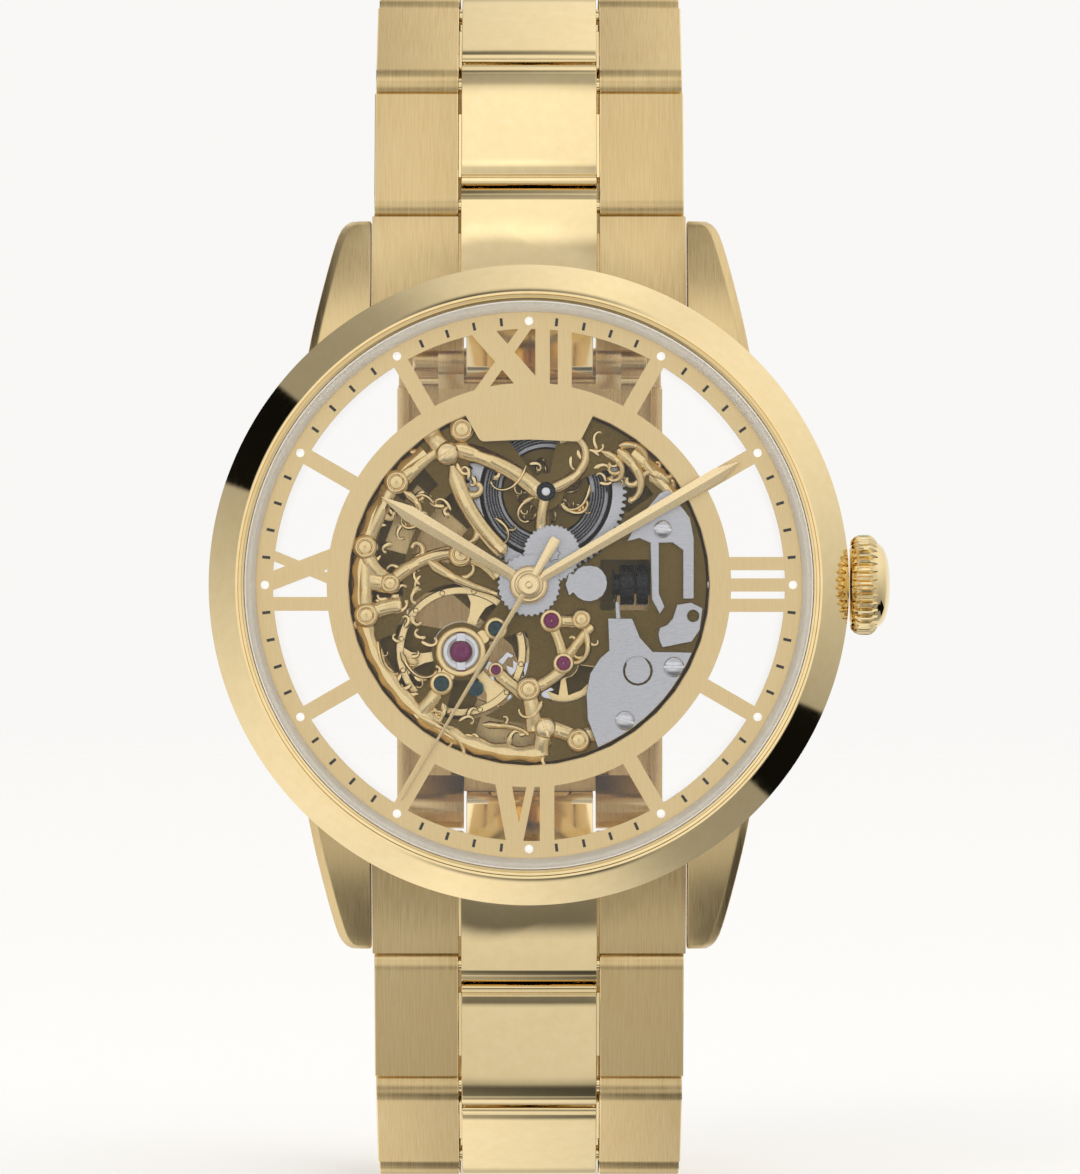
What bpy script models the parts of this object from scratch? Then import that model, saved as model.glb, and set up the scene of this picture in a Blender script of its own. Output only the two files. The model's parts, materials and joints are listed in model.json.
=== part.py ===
"""Skeleton wristwatch on a link bracelet with a folding clasp.

The dial faces -Y, 12 o'clock is +Z and the winding stem lies along +X. The origin is the centre of the
case back glass's outer face. Lengths are in millimetres and are turned to metres as each mesh is made.
"""

import math

import bmesh
import bpy
from mathutils import Matrix, Vector
from mathutils.geometry import tessellate_polygon

MM = 0.001
ROUND = 40

# Case
CASE_R, CASE_BORE_R = 21.4, 19.25
CASE_FRONT, CASE_BACK = -8.4, -1.5
BEZEL_R, CRYSTAL_R = 22.0, 19.35
LUG_IN = 10.95
STEM_Y, STEM_R = -6.6, 0.4
BACK_GLASS_R = 17.8

# Dial and movement
DIAL_FRONT, DIAL_BACK = -8.75, -8.4
DIAL_R, CHAPTER_IN, RING_OUT, RING_IN = 19.1, 17.6, 13.9, 12.45
SPOKE_WIDTH = 1.09
PLATE_R, PLATE_FRONT, PLATE_BACK = 12.3, -7.6, -6.4

# Arbors, as (x, z)
CENTRE = (0.0, 0.0)
BARREL_AT = (1.17, 6.43)
THIRD_AT = (1.53, -2.45)
FOURTH_AT = (2.378, -5.38)
ESCAPE_AT = (-0.2, -6.95)
PALLET_AT = (-2.28, -5.84)
BALANCE_AT = (-4.68, -4.59)
MINUTE_WHEEL_AT = (1.58, 2.17)
YOKE_AT = (7.49, -5.91)
LEVER_AT = (11.3, -2.13)

# Bracelet: the pins' path, and each link's heading away from the lug
PITCH, LINK_HALF, KNUCKLE_R = 9.0, 1.5, 1.5
FIRST_PIN = (-2.4, 26.3)
END_HEADING = 12.0
HEADINGS = (19.0, 54.0, 86.0, 108.0, 127.0, 144.0, 160.0)
LINK_WIDTHS = (21.45, 21.3, 21.1, 20.8, 20.5, 20.2, 19.9)
CENTRE_HALF, OUTER_IN = 4.7, 4.9
OPEN_GAP = 2.0  # How far the last link on the 6 o'clock side stops short of the clasp cover's pin

# Clasp hinges, as (y, z), behind the last pins
HINGE_B, HINGE_C = (41.7, -13.3), (43.0, 13.4)


def clear_scene():
    for item in list(bpy.data.objects):
        bpy.data.objects.remove(item)


def material(name, colour, metallic, roughness):
    made = bpy.data.materials.new(name)
    made.use_nodes = True
    made.diffuse_color = (*colour, 1)
    shader = made.node_tree.nodes["Principled BSDF"]
    shader.inputs["Base Color"].default_value = (*colour, 1)
    shader.inputs["Metallic"].default_value = metallic
    shader.inputs["Roughness"].default_value = roughness
    return made


clear_scene()
POLISHED = material("polished_gold", (0.83, 0.68, 0.38), 1.0, 0.12)
BRUSHED = material("brushed_gold", (0.76, 0.62, 0.36), 1.0, 0.35)
DIAL_GOLD = material("dial_gold", (0.72, 0.60, 0.38), 1.0, 0.4)
PLATE_GOLD = material("movement_gold", (0.66, 0.52, 0.27), 1.0, 0.3)
STEEL = material("steel", (0.55, 0.56, 0.58), 1.0, 0.3)
BLACK_STEEL = material("black_steel", (0.05, 0.05, 0.06), 1.0, 0.3)
GLASS = material("crystal", (0.95, 0.97, 0.98), 0.0, 0.02)


# Points


def polar(radius, clock, centre=CENTRE):
    """A point at a clock angle in degrees: 0 is towards 12, and 90 towards 3."""
    turn = math.radians(clock)
    return (centre[0] + radius * math.sin(turn), centre[1] + radius * math.cos(turn))


def arc(radius, start, end, steps, centre=CENTRE):
    return [polar(radius, start + (end - start) * i / steps, centre) for i in range(steps + 1)]


def circle(radius, count=ROUND, centre=CENTRE):
    return [polar(radius, 360 * i / count, centre) for i in range(count)]


def sector(inner, outer, start, end, centre=CENTRE, steps=8):
    """A window between two radii and two clock angles."""
    return arc(outer, start, end, steps, centre) + arc(inner, end, start, steps, centre)


def star(root, tip, count, phase, centre=CENTRE):
    """Pointed teeth, with one tooth at the clock angle phase."""
    step = 180 / count
    return [polar(root if i % 2 else tip, phase + step * i, centre) for i in range(2 * count)]


# Meshes


def new_object(name, built, look, origin, hidden):
    """Centres the mesh on origin, given in millimetres, and puts the object there."""
    bmesh.ops.recalc_face_normals(built, faces=built.faces)
    built.transform(Matrix.Scale(MM, 4) @ Matrix.Translation(-Vector(origin)))
    mesh = bpy.data.meshes.new(name)
    built.to_mesh(mesh)
    built.free()
    mesh.shade_smooth()
    mesh.set_sharp_from_angle(angle=math.radians(35))
    made = bpy.data.objects.new(name, mesh)
    made.location = Vector(origin) * MM
    made.data.materials.append(look)
    bpy.context.collection.objects.link(made)
    if hidden:
        made.hide_render = True
        made.display_type = "WIRE"
    return made


def plate(name, outline, low, high, look, holes=(), origin=(0, 0, 0), along="y", hidden=False):
    """An outline with holes, extruded along y from (x, z) points, or along x from (y, z) points."""

    def place(point, level):
        if along == "y":
            return (point[0], level, point[1])
        return (level, point[0], point[1])

    loops = [list(outline), *[list(hole) for hole in holes]]
    flat = [point for loop in loops for point in loop]
    triangles = tessellate_polygon([[Vector((*point, 0)) for point in loop] for loop in loops])
    built = bmesh.new()
    near = [built.verts.new(place(point, low)) for point in flat]
    far = [built.verts.new(place(point, high)) for point in flat]
    for corners in triangles:
        built.faces.new([near[i] for i in corners])
        built.faces.new([far[i] for i in corners])
    first = 0
    for loop in loops:
        count = len(loop)
        for i in range(count):
            a, b = first + i, first + (i + 1) % count
            built.faces.new((near[a], near[b], far[b], far[a]))
        first += count
    return new_object(name, built, look, origin, hidden)


def loft(name, loops, look, closed=False, origin=(0, 0, 0), hidden=False):
    """Joins loops of equally many points. A closed loft returns to its first loop, and an open one is capped."""
    built = bmesh.new()
    rows = [[built.verts.new(point) for point in loop] for loop in loops]
    pairs = list(zip(rows, rows[1:]))
    if closed:
        pairs.append((rows[-1], rows[0]))
    else:
        built.faces.new(rows[0])
        built.faces.new(rows[-1])
    for here, there in pairs:
        for i in range(len(here)):
            j = (i + 1) % len(here)
            built.faces.new((here[i], here[j], there[j], there[i]))
    return new_object(name, built, look, origin, hidden)


def turned(name, profile, look, closed=True, centre=CENTRE, count=ROUND, hidden=False):
    """Turns a profile of (radius, y) about the y axis through centre."""
    loops = [[(x, y, z) for x, z in circle(radius, count, centre)] for radius, y in profile]
    return loft(name, loops, look, closed, (centre[0], 0, centre[1]), hidden)


def turned_on_stem(name, profile, look, closed=False, count=24, hidden=False):
    """Turns a profile of (radius, x) about the stem."""
    loops = [[(x, STEM_Y + a, b) for a, b in circle(radius, count)] for radius, x in profile]
    return loft(name, loops, look, closed, (0, STEM_Y, 0), hidden)


def boolean(target, tool, operation):
    cut = target.modifiers.new(f"{operation.lower()} {tool.name}", "BOOLEAN")
    cut.operation = operation
    cut.object = tool
    cut.solver = "EXACT"


def wheel(name, centre, teeth, root, tip, low, high, phase, look, spokes=4, parts=()):
    """A toothed wheel with its arbor and pinion, given in parts as (low, high, radius, leaves, phase)."""
    outline = star(root, tip, teeth, phase, centre)
    gap = 360 / spokes if spokes else 0
    hub, rim = 0.36 * root + 0.15, 0.84 * root
    holes = [sector(hub, rim, gap * i + 9, gap * (i + 1) - 9, centre, 3) for i in range(spokes)]
    made = plate(name, outline, low, high, look, holes, (centre[0], 0, centre[1]))
    for number, (start, end, radius, leaves, turn) in enumerate(parts):
        if leaves:
            shape = star(radius * 0.72, radius, leaves, turn, centre)
        else:
            shape = circle(radius, 12, centre)
        tool = plate(f"{name}_part_{number}", shape, start, end, look, hidden=True)
        boolean(made, tool, "UNION")
    return made


def meshed(phase, teeth, centre, other, other_teeth):
    """The phase of a gear at other that puts its gap where the first gear's tooth is."""
    towards = math.degrees(math.atan2(other[0] - centre[0], other[1] - centre[1]))
    share = ((towards - phase) * teeth / 360) % 1
    return towards + 180 - (0.5 - share) * 360 / other_teeth


# Case


def make_case():
    case = turned(
        "case_body",
        [(CASE_R - 0.5, CASE_FRONT), (CASE_R, -7.6), (CASE_R, -2.3), (CASE_R - 0.7, CASE_BACK),
         (CASE_BORE_R - 0.3, CASE_BACK), (CASE_BORE_R - 0.3, CASE_FRONT)],
        BRUSHED,
        count=48,
    )
    # Each lug station is (z, outer x, top y, bottom y)
    stations = ((12, 15.7, -8.3, -1.65), (16, 15.2, -7.9, -1.65), (20, 14.35, -6.6, -1.35),
                (24.2, 13.2, -4.5, -0.7), (25.25, 11.9, -3.6, -0.9))
    for number, (side, end) in enumerate(((1, 1), (1, -1), (-1, 1), (-1, -1))):
        loops = [
            [(side * LUG_IN, top, end * z), (side * (wide - 0.5), top, end * z),
             (side * wide, top + 0.5, end * z), (side * wide, low, end * z), (side * LUG_IN, low, end * z)]
            for z, wide, top, low in stations
        ]
        boolean(case, loft(f"lug_{number}", loops, BRUSHED, hidden=True), "UNION")
    bore = turned("case_bore", [(CASE_BORE_R, -10), (CASE_BORE_R, 2)], BRUSHED, False, count=48, hidden=True)
    boolean(case, bore, "DIFFERENCE")
    tube_hole = turned_on_stem("tube_hole", [(1.3, 17), (1.3, 24)], BRUSHED, count=16, hidden=True)
    boolean(case, tube_hole, "DIFFERENCE")
    turned(
        "bezel",
        [(BEZEL_R, -8.5), (BEZEL_R, -9.0), (20.15, -11.35), (19.9, -11.5), (19.5, -11.45), (19.5, -8.5)],
        POLISHED,
        count=48,
    )
    turned("crystal", [(CRYSTAL_R, -10.6), (CRYSTAL_R, -11.3), (18.6, -11.85)], GLASS, False)
    turned("flange_ring", [(19.4, -10.5), (19.4, -8.85), (18.75, -8.85), (19.1, -10.5)], POLISHED)
    turned(
        "caseback_ring",
        [(20.6, 0), (20.6, -1.4), (19.15, -1.4), (19.15, -2.6), (17.9, -2.6), (17.9, 0)],
        POLISHED,
    )
    turned("caseback_glass", [(BACK_GLASS_R, 0), (BACK_GLASS_R, -1.2)], GLASS, False)


def make_holder():
    """The ring that carries the movement, on eight arms that stay behind the dial's spokes."""
    arms = [30, 60, 120, 150, 210, 240, 300, 330]
    half = (SPOKE_WIDTH - 0.16) / 2
    windows = []
    for start, end in zip(arms, arms[1:] + [390]):
        inner, outer = 13.75, 17.75
        lean_in, lean_out = math.degrees(half / inner), math.degrees(half / outer)
        steps = 4 if end - start < 45 else 7
        windows.append(
            arc(outer, start + lean_out, end - lean_out, steps)
            + arc(inner, end - lean_in, start + lean_in, steps)
        )
    plate("movement_holder", circle(19.1, 40), -8.35, -7.1, DIAL_GOLD, [*windows, circle(12.42, 40)])


def make_crown():
    count = 34
    rows = ((22.1, 2.6, 2.6), (22.4, 3.45, 3.1), (23.8, 3.45, 3.1), (24.05, 2.9, 2.9), (24.9, 1.6, 1.6))
    loops = [
        [(x, STEM_Y + a, b) for a, b in star(root, tip, count, 0)] for x, tip, root in rows
    ]
    loft("crown", loops, POLISHED, origin=(0, STEM_Y, 0))
    turned_on_stem("crown_tube", [(1.2, 19.3), (1.2, 21.8), (0.55, 21.8), (0.55, 19.3)], STEEL, True, 16)
    turned_on_stem("stem", [(STEM_R, 8.6), (STEM_R, 21.75)], STEEL, count=12)
    turned_on_stem(
        "winding_pinion", [(1.4, 7.4), (1.4, 8.2), (0.55, 8.2), (0.55, 7.4)], BLACK_STEEL, True, 20
    )
    turned_on_stem(
        "clutch",
        [(1.1, 5.75), (1.1, 5.88), (0.75, 5.88), (0.75, 6.3), (1.4, 6.3), (1.4, 7.25), (0.5, 7.25),
         (0.5, 5.75)],
        BLACK_STEEL,
        True,
        20,
    )


# Dial and hands


def make_dial():
    dial = plate("dial", circle(DIAL_R, 80), DIAL_FRONT, DIAL_BACK, DIAL_GOLD, [circle(CHAPTER_IN, 80)])
    bars = []

    def bar(x0, z0, x1, z1, width):
        """A straight stroke whose ends run a little into the rings."""
        along = Vector((x1 - x0, z1 - z0)).normalized()
        side = Vector((along.y, -along.x)) * width / 2
        start, end = Vector((x0, z0)), Vector((x1, z1))
        bars.append([tuple(start + side), tuple(end + side), tuple(end - side), tuple(start - side)])

    for clock in (30, 60, 120, 150, 210, 240, 300, 330):
        bar(*polar(RING_OUT - 0.4, clock), *polar(CHAPTER_IN + 0.4, clock), SPOKE_WIDTH)
    # XII
    bar(-3.55, 17.75, 0.55, 13.2, 1.45)
    bar(0.0, 18.0, -3.5, 13.1, 0.72)
    bar(0.94, 13.2, 0.94, 18.0, 1.0)
    bar(2.46, 13.2, 2.46, 17.8, 0.96)
    # III
    for level in (1.47, 0.0, -1.4):
        bar(13.2, level, 18.0, level, 0.91)
    # VI
    bar(-1.85, -13.2, -0.95, -18.0, 1.1)
    bar(0.25, -13.2, -0.75, -18.0, 0.55)
    bar(1.25, -13.2, 1.25, -18.0, 1.0)
    # IX
    bar(-13.2, -1.3, -18.0, -1.3, 0.95)
    bar(-13.2, 2.0, -18.0, 0.15, 1.25)
    bar(-13.2, 0.2, -18.0, 2.2, 0.7)
    tab = [(-4.9, 12.3), (-3.33, 9.85), (0.0, 10.0), (3.51, 9.85), (4.9, 12.3)]
    ring = plate(
        "dial_ring", circle(RING_OUT, 72), DIAL_FRONT, DIAL_BACK, DIAL_GOLD, [circle(RING_IN, 72)],
        hidden=True,
    )
    boolean(dial, ring, "UNION")
    for number, outline in enumerate([*bars, tab]):
        tool = plate(f"dial_bar_{number}", outline, DIAL_FRONT, DIAL_BACK, DIAL_GOLD, hidden=True)
        boolean(dial, tool, "UNION")


def hand(name, clock, length, half_width, level, thick, hub, hole, tail, tail_half):
    """A tapered hand with a round hub, pointing at a clock angle."""
    turn = math.radians(clock)

    def turned_point(side, out):
        return (out * math.sin(turn) + side * math.cos(turn), out * math.cos(turn) - side * math.sin(turn))

    outline = [(0.24, hub * 0.9), (half_width, hub * 2.2), (half_width * 0.9, length - 1.5), (0.06, length)]
    outline += [(-0.06, length), (-half_width * 0.9, length - 1.5), (-half_width, hub * 2.2)]
    outline += [(-0.24, hub * 0.9), (-hub * 0.96, hub * 0.28), (-hub * 0.7, -hub * 0.7)]
    if tail:
        outline += [(-tail_half * 0.6, -hub), (-tail_half, -tail), (tail_half, -tail), (tail_half * 0.6, -hub)]
    else:
        outline += [(0, -hub)]
    outline += [(hub * 0.7, -hub * 0.7), (hub * 0.96, hub * 0.28)]
    holes = [circle(hole, 16)] if hole else []
    plate(
        name, [turned_point(*point) for point in outline], level - thick, level, POLISHED, holes
    )


def make_hands():
    hand("hour_hand", 300.8, 11.8, 0.55, -9.1, 0.16, 1.3, 0.56, 0, 0)
    hand("minute_hand", 59.7, 16.8, 0.5, -9.5, 0.14, 1.0, 0.3, 0, 0)
    hand("seconds_hand", 210.6, 17.2, 0.13, -9.86, 0.1, 0.55, 0, 3.7, 0.35)


# Dial side of the movement


def make_motion_work():
    cannon_phase = meshed(0, 36, MINUTE_WHEEL_AT, CENTRE, 12)
    cannon = turned(
        "cannon_pinion", [(0.45, -9.45), (0.45, -7.7), (0.24, -7.7), (0.24, -9.45)], STEEL, count=16
    )
    leaves = plate(
        "cannon_leaves", star(0.55, 0.78, 12, cannon_phase), -7.97, -7.73, STEEL, [circle(0.35, 12)],
        hidden=True,
    )
    boolean(cannon, leaves, "UNION")
    pinion_phase = 0.0
    wheel(
        "minute_wheel", MINUTE_WHEEL_AT, 36, 1.86, 2.02, -7.95, -7.75, 0, STEEL, 0,
        [(-8.27, -7.85, 0.6, 8, pinion_phase)],
    )
    hour_phase = meshed(pinion_phase, 8, MINUTE_WHEEL_AT, CENTRE, 32)
    hour = plate(
        "hour_wheel", star(2.02, 2.2, 32, hour_phase), -8.25, -8.05, STEEL, [circle(0.54, 16)]
    )
    pipe = plate(
        "hour_pipe", circle(0.85, 24), -9.0, -8.15, STEEL, [circle(0.54, 16)], hidden=True
    )
    boolean(hour, pipe, "UNION")
    cock = arc(1.26, -60, 240, 14, (4.13, 0.12))
    plate("minute_wheel_cock", [*cock, (2.75, -0.75), (2.5, 0.05), (2.75, 0.85)], -8.3, -8.03, STEEL)


def make_keyless_works():
    rim = arc(12.15, 112.5, 157.0, 10)
    cover = [(5.44, -2.30), (7.10, -2.30), (7.63, -3.62), (8.50, -4.59), *rim, (4.03, -9.23),
             (3.95, -7.48), (4.21, -6.08), (4.91, -5.02), (5.52, -4.50)]
    plate("train_cover_plate", cover, -8.3, -7.98, STEEL, [circle(1.02, 20, YOKE_AT)])
    yoke = arc(0.9, 60, 300, 10, YOKE_AT) + [(6.3, -3.2), (6.0, -2.6), (5.94, -1.15), (6.2, -1.15),
                                            (6.35, -2.6), (6.9, -3.4)]
    plate("yoke", yoke, -7.9, -7.66, STEEL, origin=(YOKE_AT[0], 0, YOKE_AT[1]))
    jumper = [(6.75, 3.0), (7.4, 4.4), (9.0, 6.3), (9.6, 6.6), (11.1, 4.6), (11.35, 3.2), (11.35, -0.95),
              (10.6, -0.95), (10.6, 2.4), (9.9, 2.9), (8.95, 2.9), (8.95, -0.6), (9.35, -1.5),
              (9.0, -2.0), (8.45, -1.0), (8.35, 2.9), (7.6, 3.2)]
    plate("setting_lever_jumper", jumper, -8.2, -7.9, STEEL)
    lever = [(9.0, -2.95), (9.5, -2.75), (9.9, -2.3), (10.2, -1.35), (11.15, -1.2), (11.95, -1.6),
             (11.75, -3.1), (11.2, -3.9), (9.2, -4.3), (9.0, -3.9), (8.9, -3.4)]
    plate("setting_lever", lever, -8.2, -7.9, STEEL, [circle(0.42, 12, LEVER_AT)],
          (LEVER_AT[0], 0, LEVER_AT[1]))


def make_mainplate():
    barrel_windows = [
        sector(1.25, 4.45, 318, 372, BARREL_AT, 6),
        sector(1.25, 4.9, 72, 168, BARREL_AT, 9),
        sector(1.25, 4.9, 215, 298, BARREL_AT, 8),
    ]
    balance_windows = [
        sector(1.95, 4.6, 76, 188, BALANCE_AT, 9),
        sector(1.95, 4.6, 232, 388, BALANCE_AT, 12),
    ]
    train_window = sector(1.0, 2.7, 95, 230, FOURTH_AT, 8)
    clutch_window = [(4.9, -1.75), (8.35, -1.75), (8.35, 1.75), (4.9, 1.75)]
    left_windows = [sector(8.6, 10.6, 262, 300, steps=6), sector(5.9, 8.2, 285, 318, steps=5)]
    lower_window = sector(9.6, 11.2, 178, 196, steps=4)
    bore = circle(0.6, 16)
    mainplate = plate(
        "mainplate", circle(PLATE_R, 48), PLATE_FRONT, PLATE_BACK, PLATE_GOLD,
        [*barrel_windows, *balance_windows, train_window, clutch_window, *left_windows, lower_window, bore],
    )
    channel = plate(
        "stem_channel", [(8.2, -0.55), (14, -0.55), (14, 0.55), (8.2, 0.55)], -7.15, -6.0, PLATE_GOLD,
        hidden=True,
    )
    boolean(mainplate, channel, "DIFFERENCE")


# Train


def make_train():
    centre_phase = 0.0
    third_pinion_phase = meshed(centre_phase, 60, CENTRE, THIRD_AT, 8)
    third_phase = 0.0
    seconds_phase = meshed(third_phase, 64, THIRD_AT, CENTRE, 8)
    fourth_pinion_phase = meshed(third_phase, 64, THIRD_AT, FOURTH_AT, 12)
    fourth_phase = 0.0
    escape_pinion_phase = meshed(fourth_phase, 81, FOURTH_AT, ESCAPE_AT, 6)
    barrel_phase = 0.0
    centre_pinion_phase = meshed(barrel_phase, 72, BARREL_AT, CENTRE, 12)

    barrel = plate(
        "barrel", star(5.3, 5.55, 72, barrel_phase, BARREL_AT), -6.1, -5.75, STEEL,
        [circle(4.35, 24, BARREL_AT)], (BARREL_AT[0], 0, BARREL_AT[1]),
    )
    drum = turned(
        "barrel_drum", [(4.9, -5.9), (4.9, -4.5), (4.6, -4.5), (4.6, -5.9)], STEEL, True, BARREL_AT, 24,
        hidden=True,
    )
    boolean(barrel, drum, "UNION")
    arbor = turned(
        "barrel_arbor", [(0.62, -6.3), (0.62, -3.8)], STEEL, False, BARREL_AT, 16
    )
    ratchet = plate(
        "ratchet", star(2.7, 2.95, 36, 0, BARREL_AT), -4.35, -4.1, STEEL, hidden=True
    )
    boolean(arbor, ratchet, "UNION")

    centre = turned(
        "center_wheel", [(0.42, -7.62), (0.42, -4.03), (0.24, -4.03), (0.24, -7.62)], PLATE_GOLD, count=16
    )
    pieces = (
        ("centre_teeth", star(2.42, 2.6, 60, centre_phase), -4.3, -4.12,
         [circle(0.33, 12), *[sector(0.9, 2.05, 90 * i + 13, 90 * i + 77, steps=3) for i in range(4)]]),
        ("centre_pinion", star(0.7, 0.98, 12, centre_pinion_phase), -6.15, -5.7, [circle(0.33, 12)]),
    )
    for name, outline, low, high, holes in pieces:
        boolean(centre, plate(name, outline, low, high, PLATE_GOLD, holes, hidden=True), "UNION")
    wheel(
        "third_wheel", THIRD_AT, 64, 2.45, 2.6, -3.92, -3.77, third_phase, PLATE_GOLD, 4,
        [(-4.4, -3.85, 0.36, 8, third_pinion_phase), (-6.3, -3.68, 0.13, 0, 0)],
    )
    seconds = turned("seconds_arbor", [(0.13, -9.8), (0.13, -3.7)], STEEL, False, count=12)
    leaves = plate(
        "seconds_leaves", star(0.22, 0.34, 8, seconds_phase), -3.98, -3.72, STEEL, hidden=True
    )
    boolean(seconds, leaves, "UNION")
    wheel(
        "fourth_wheel", FOURTH_AT, 81, 2.68, 2.8, -4.95, -4.8, fourth_phase, PLATE_GOLD, 4,
        [(-4.85, -3.7, 0.5, 12, fourth_pinion_phase), (-6.3, -4.9, 0.13, 0, 0)],
    )
    wheel(
        "escape_wheel", ESCAPE_AT, 20, 1.5, 1.95, -5.42, -5.28, 9.0, STEEL, 4,
        [(-5.35, -4.7, 0.24, 6, escape_pinion_phase), (-6.3, -5.35, 0.1, 0, 0)],
    )


def make_escapement():
    towards = Vector(ESCAPE_AT) - Vector(PALLET_AT)
    along = towards.normalized()
    across = Vector((-along.y, along.x))

    def point(out, side):
        return tuple(Vector(PALLET_AT) + along * out + across * side)

    outline = [point(0.25, 0.35), point(0.35, 1.15), point(0.6, 1.2), point(0.62, 1.45), point(0.1, 1.45),
               point(-0.2, 0.4), point(-1.3, 0.14), point(-1.9, 0.3), point(-1.9, -0.3), point(-1.3, -0.14),
               point(-0.2, -0.4), point(0.1, -1.45), point(0.62, -1.45), point(0.6, -1.2),
               point(0.35, -1.15), point(0.25, -0.35)]
    plate("pallet_fork", outline, -5.42, -5.25, STEEL, origin=(PALLET_AT[0], 0, PALLET_AT[1]))
    windows = [sector(0.9, 3.95, 120 * i + 27, 120 * i + 133, BALANCE_AT, 8) for i in range(3)]
    balance = plate(
        "balance_wheel", circle(4.5, 48, BALANCE_AT), -6.05, -5.65, PLATE_GOLD, windows,
        (BALANCE_AT[0], 0, BALANCE_AT[1]),
    )
    staff = turned("balance_staff", [(0.22, -6.3), (0.22, -4.4)], STEEL, False, BALANCE_AT, 12, hidden=True)
    boolean(balance, staff, "UNION")
    steps, turns, width = 36, 4.3, 0.06
    spiral = []
    for i in range(steps + 1):
        clock = 360 * turns * i / steps
        radius = 0.55 + 1.5 * i / steps
        spiral.append([
            (*polar(radius - width, clock, BALANCE_AT), -5.0), (*polar(radius + width, clock, BALANCE_AT), -5.0),
            (*polar(radius + width, clock, BALANCE_AT), -4.75), (*polar(radius - width, clock, BALANCE_AT), -4.75),
        ])
    loft("hairspring", [[(x, y, z) for x, z, y in row] for row in spiral], STEEL,
         origin=(BALANCE_AT[0], 0, BALANCE_AT[1]))
    coil = []
    steps, turns = 40, 4.0
    for i in range(steps + 1):
        clock = 360 * turns * i / steps
        radius = 1.1 + 3.0 * i / steps
        coil.append([
            (*polar(radius - 0.1, clock, BARREL_AT), -5.9), (*polar(radius + 0.1, clock, BARREL_AT), -5.9),
            (*polar(radius + 0.1, clock, BARREL_AT), -4.6), (*polar(radius - 0.1, clock, BARREL_AT), -4.6),
        ])
    loft("mainspring", [[(x, y, z) for x, z, y in row] for row in coil], BLACK_STEEL,
         origin=(BARREL_AT[0], 0, BARREL_AT[1]))


def make_bridges():
    outline = arc(12.0, 262, 532, 28) + [(0.6, -9.2), (-1.2, -4.2), (-5.6, -0.4), (-10.2, -0.9)]
    windows = [
        sector(1.6, 4.2, 25, 85, BARREL_AT, 6), sector(1.6, 4.2, 100, 165, BARREL_AT, 6),
        sector(1.6, 4.2, 230, 345, BARREL_AT, 10), sector(6.2, 10.6, 95, 135, steps=5),
        sector(4.6, 10.4, 284, 312, steps=5),
    ]
    bridge = plate("train_bridge", outline, -3.6, -3.0, PLATE_GOLD, windows)
    cock = arc(1.5, -20, 110, 6, BALANCE_AT) + [(-3.6, -8.0), *arc(12.0, 205, 250, 8), (-8.6, -2.6)]
    balance_cock = plate("balance_cock", cock, -4.25, -3.65, PLATE_GOLD)
    feet = ((bridge, 282, 11.3), (bridge, 72, 11.2), (bridge, 152, 11.2), (balance_cock, 217, 11.6))
    for number, (carrier, clock, radius) in enumerate(feet):
        foot = turned(
            f"foot_{number}", [(0.6, -6.3), (0.6, -3.3 if carrier is bridge else -3.9)], PLATE_GOLD, False,
            polar(radius, clock), 12, hidden=True,
        )
        boolean(carrier, foot, "UNION")
    weight = arc(12.1, 130, 320, 20) + arc(1.9, 320, 490, 6)
    plate("rotor", weight, -2.75, -1.75, BRUSHED,
          [sector(3.4, 8.6, 150, 215, steps=6), sector(3.4, 8.6, 235, 300, steps=6)])


# Bracelet


def knuckle(centre, start, end, radius, steps=6):
    """An arc in a link's side view, as (y, z): 0 degrees is along +z, and 90 outwards along -y."""
    points = []
    for i in range(steps + 1):
        turn = math.radians(start + (end - start) * i / steps)
        points.append((-radius * math.sin(turn), centre + radius * math.cos(turn)))
    return points


def outer_profile(start, end, lead=None, short=0.0):
    """The side view of a link's outer pieces. They roll on the pin at start, or begin square at lead. They
    clasp the next link's outer pieces at end, or stop square and short of it."""
    lip, hollow = 1.1, KNUCKLE_R + 0.15
    half_angle = math.degrees(math.acos(lip / hollow))
    if lead is None:
        near = knuckle(start, 270, 90, KNUCKLE_R)
    else:
        near = [(LINK_HALF, lead), (-LINK_HALF, lead)]
    if short:
        return [*near, (-LINK_HALF, end - short), (LINK_HALF, end - short)]
    far = knuckle(end, 180 - half_angle, 180 + half_angle, hollow, 4)
    return [*near, (-LINK_HALF, end - lip), *far, (LINK_HALF, end - lip)]


def centre_profile(start, end, lead=None):
    """The side view of a link's centre piece, whose tongue rolls on the pin at end."""
    lip, hollow = 1.1, KNUCKLE_R + 0.15
    half_angle = math.degrees(math.acos(lip / hollow))
    if lead is None:
        near = [(LINK_HALF, start + lip), *knuckle(start, -half_angle, half_angle, hollow, 4),
                (-LINK_HALF, start + lip)]
    else:
        near = [(LINK_HALF, lead), (-LINK_HALF, lead)]
    return [*near, *knuckle(end, 90, -90, KNUCKLE_R)]


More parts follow.
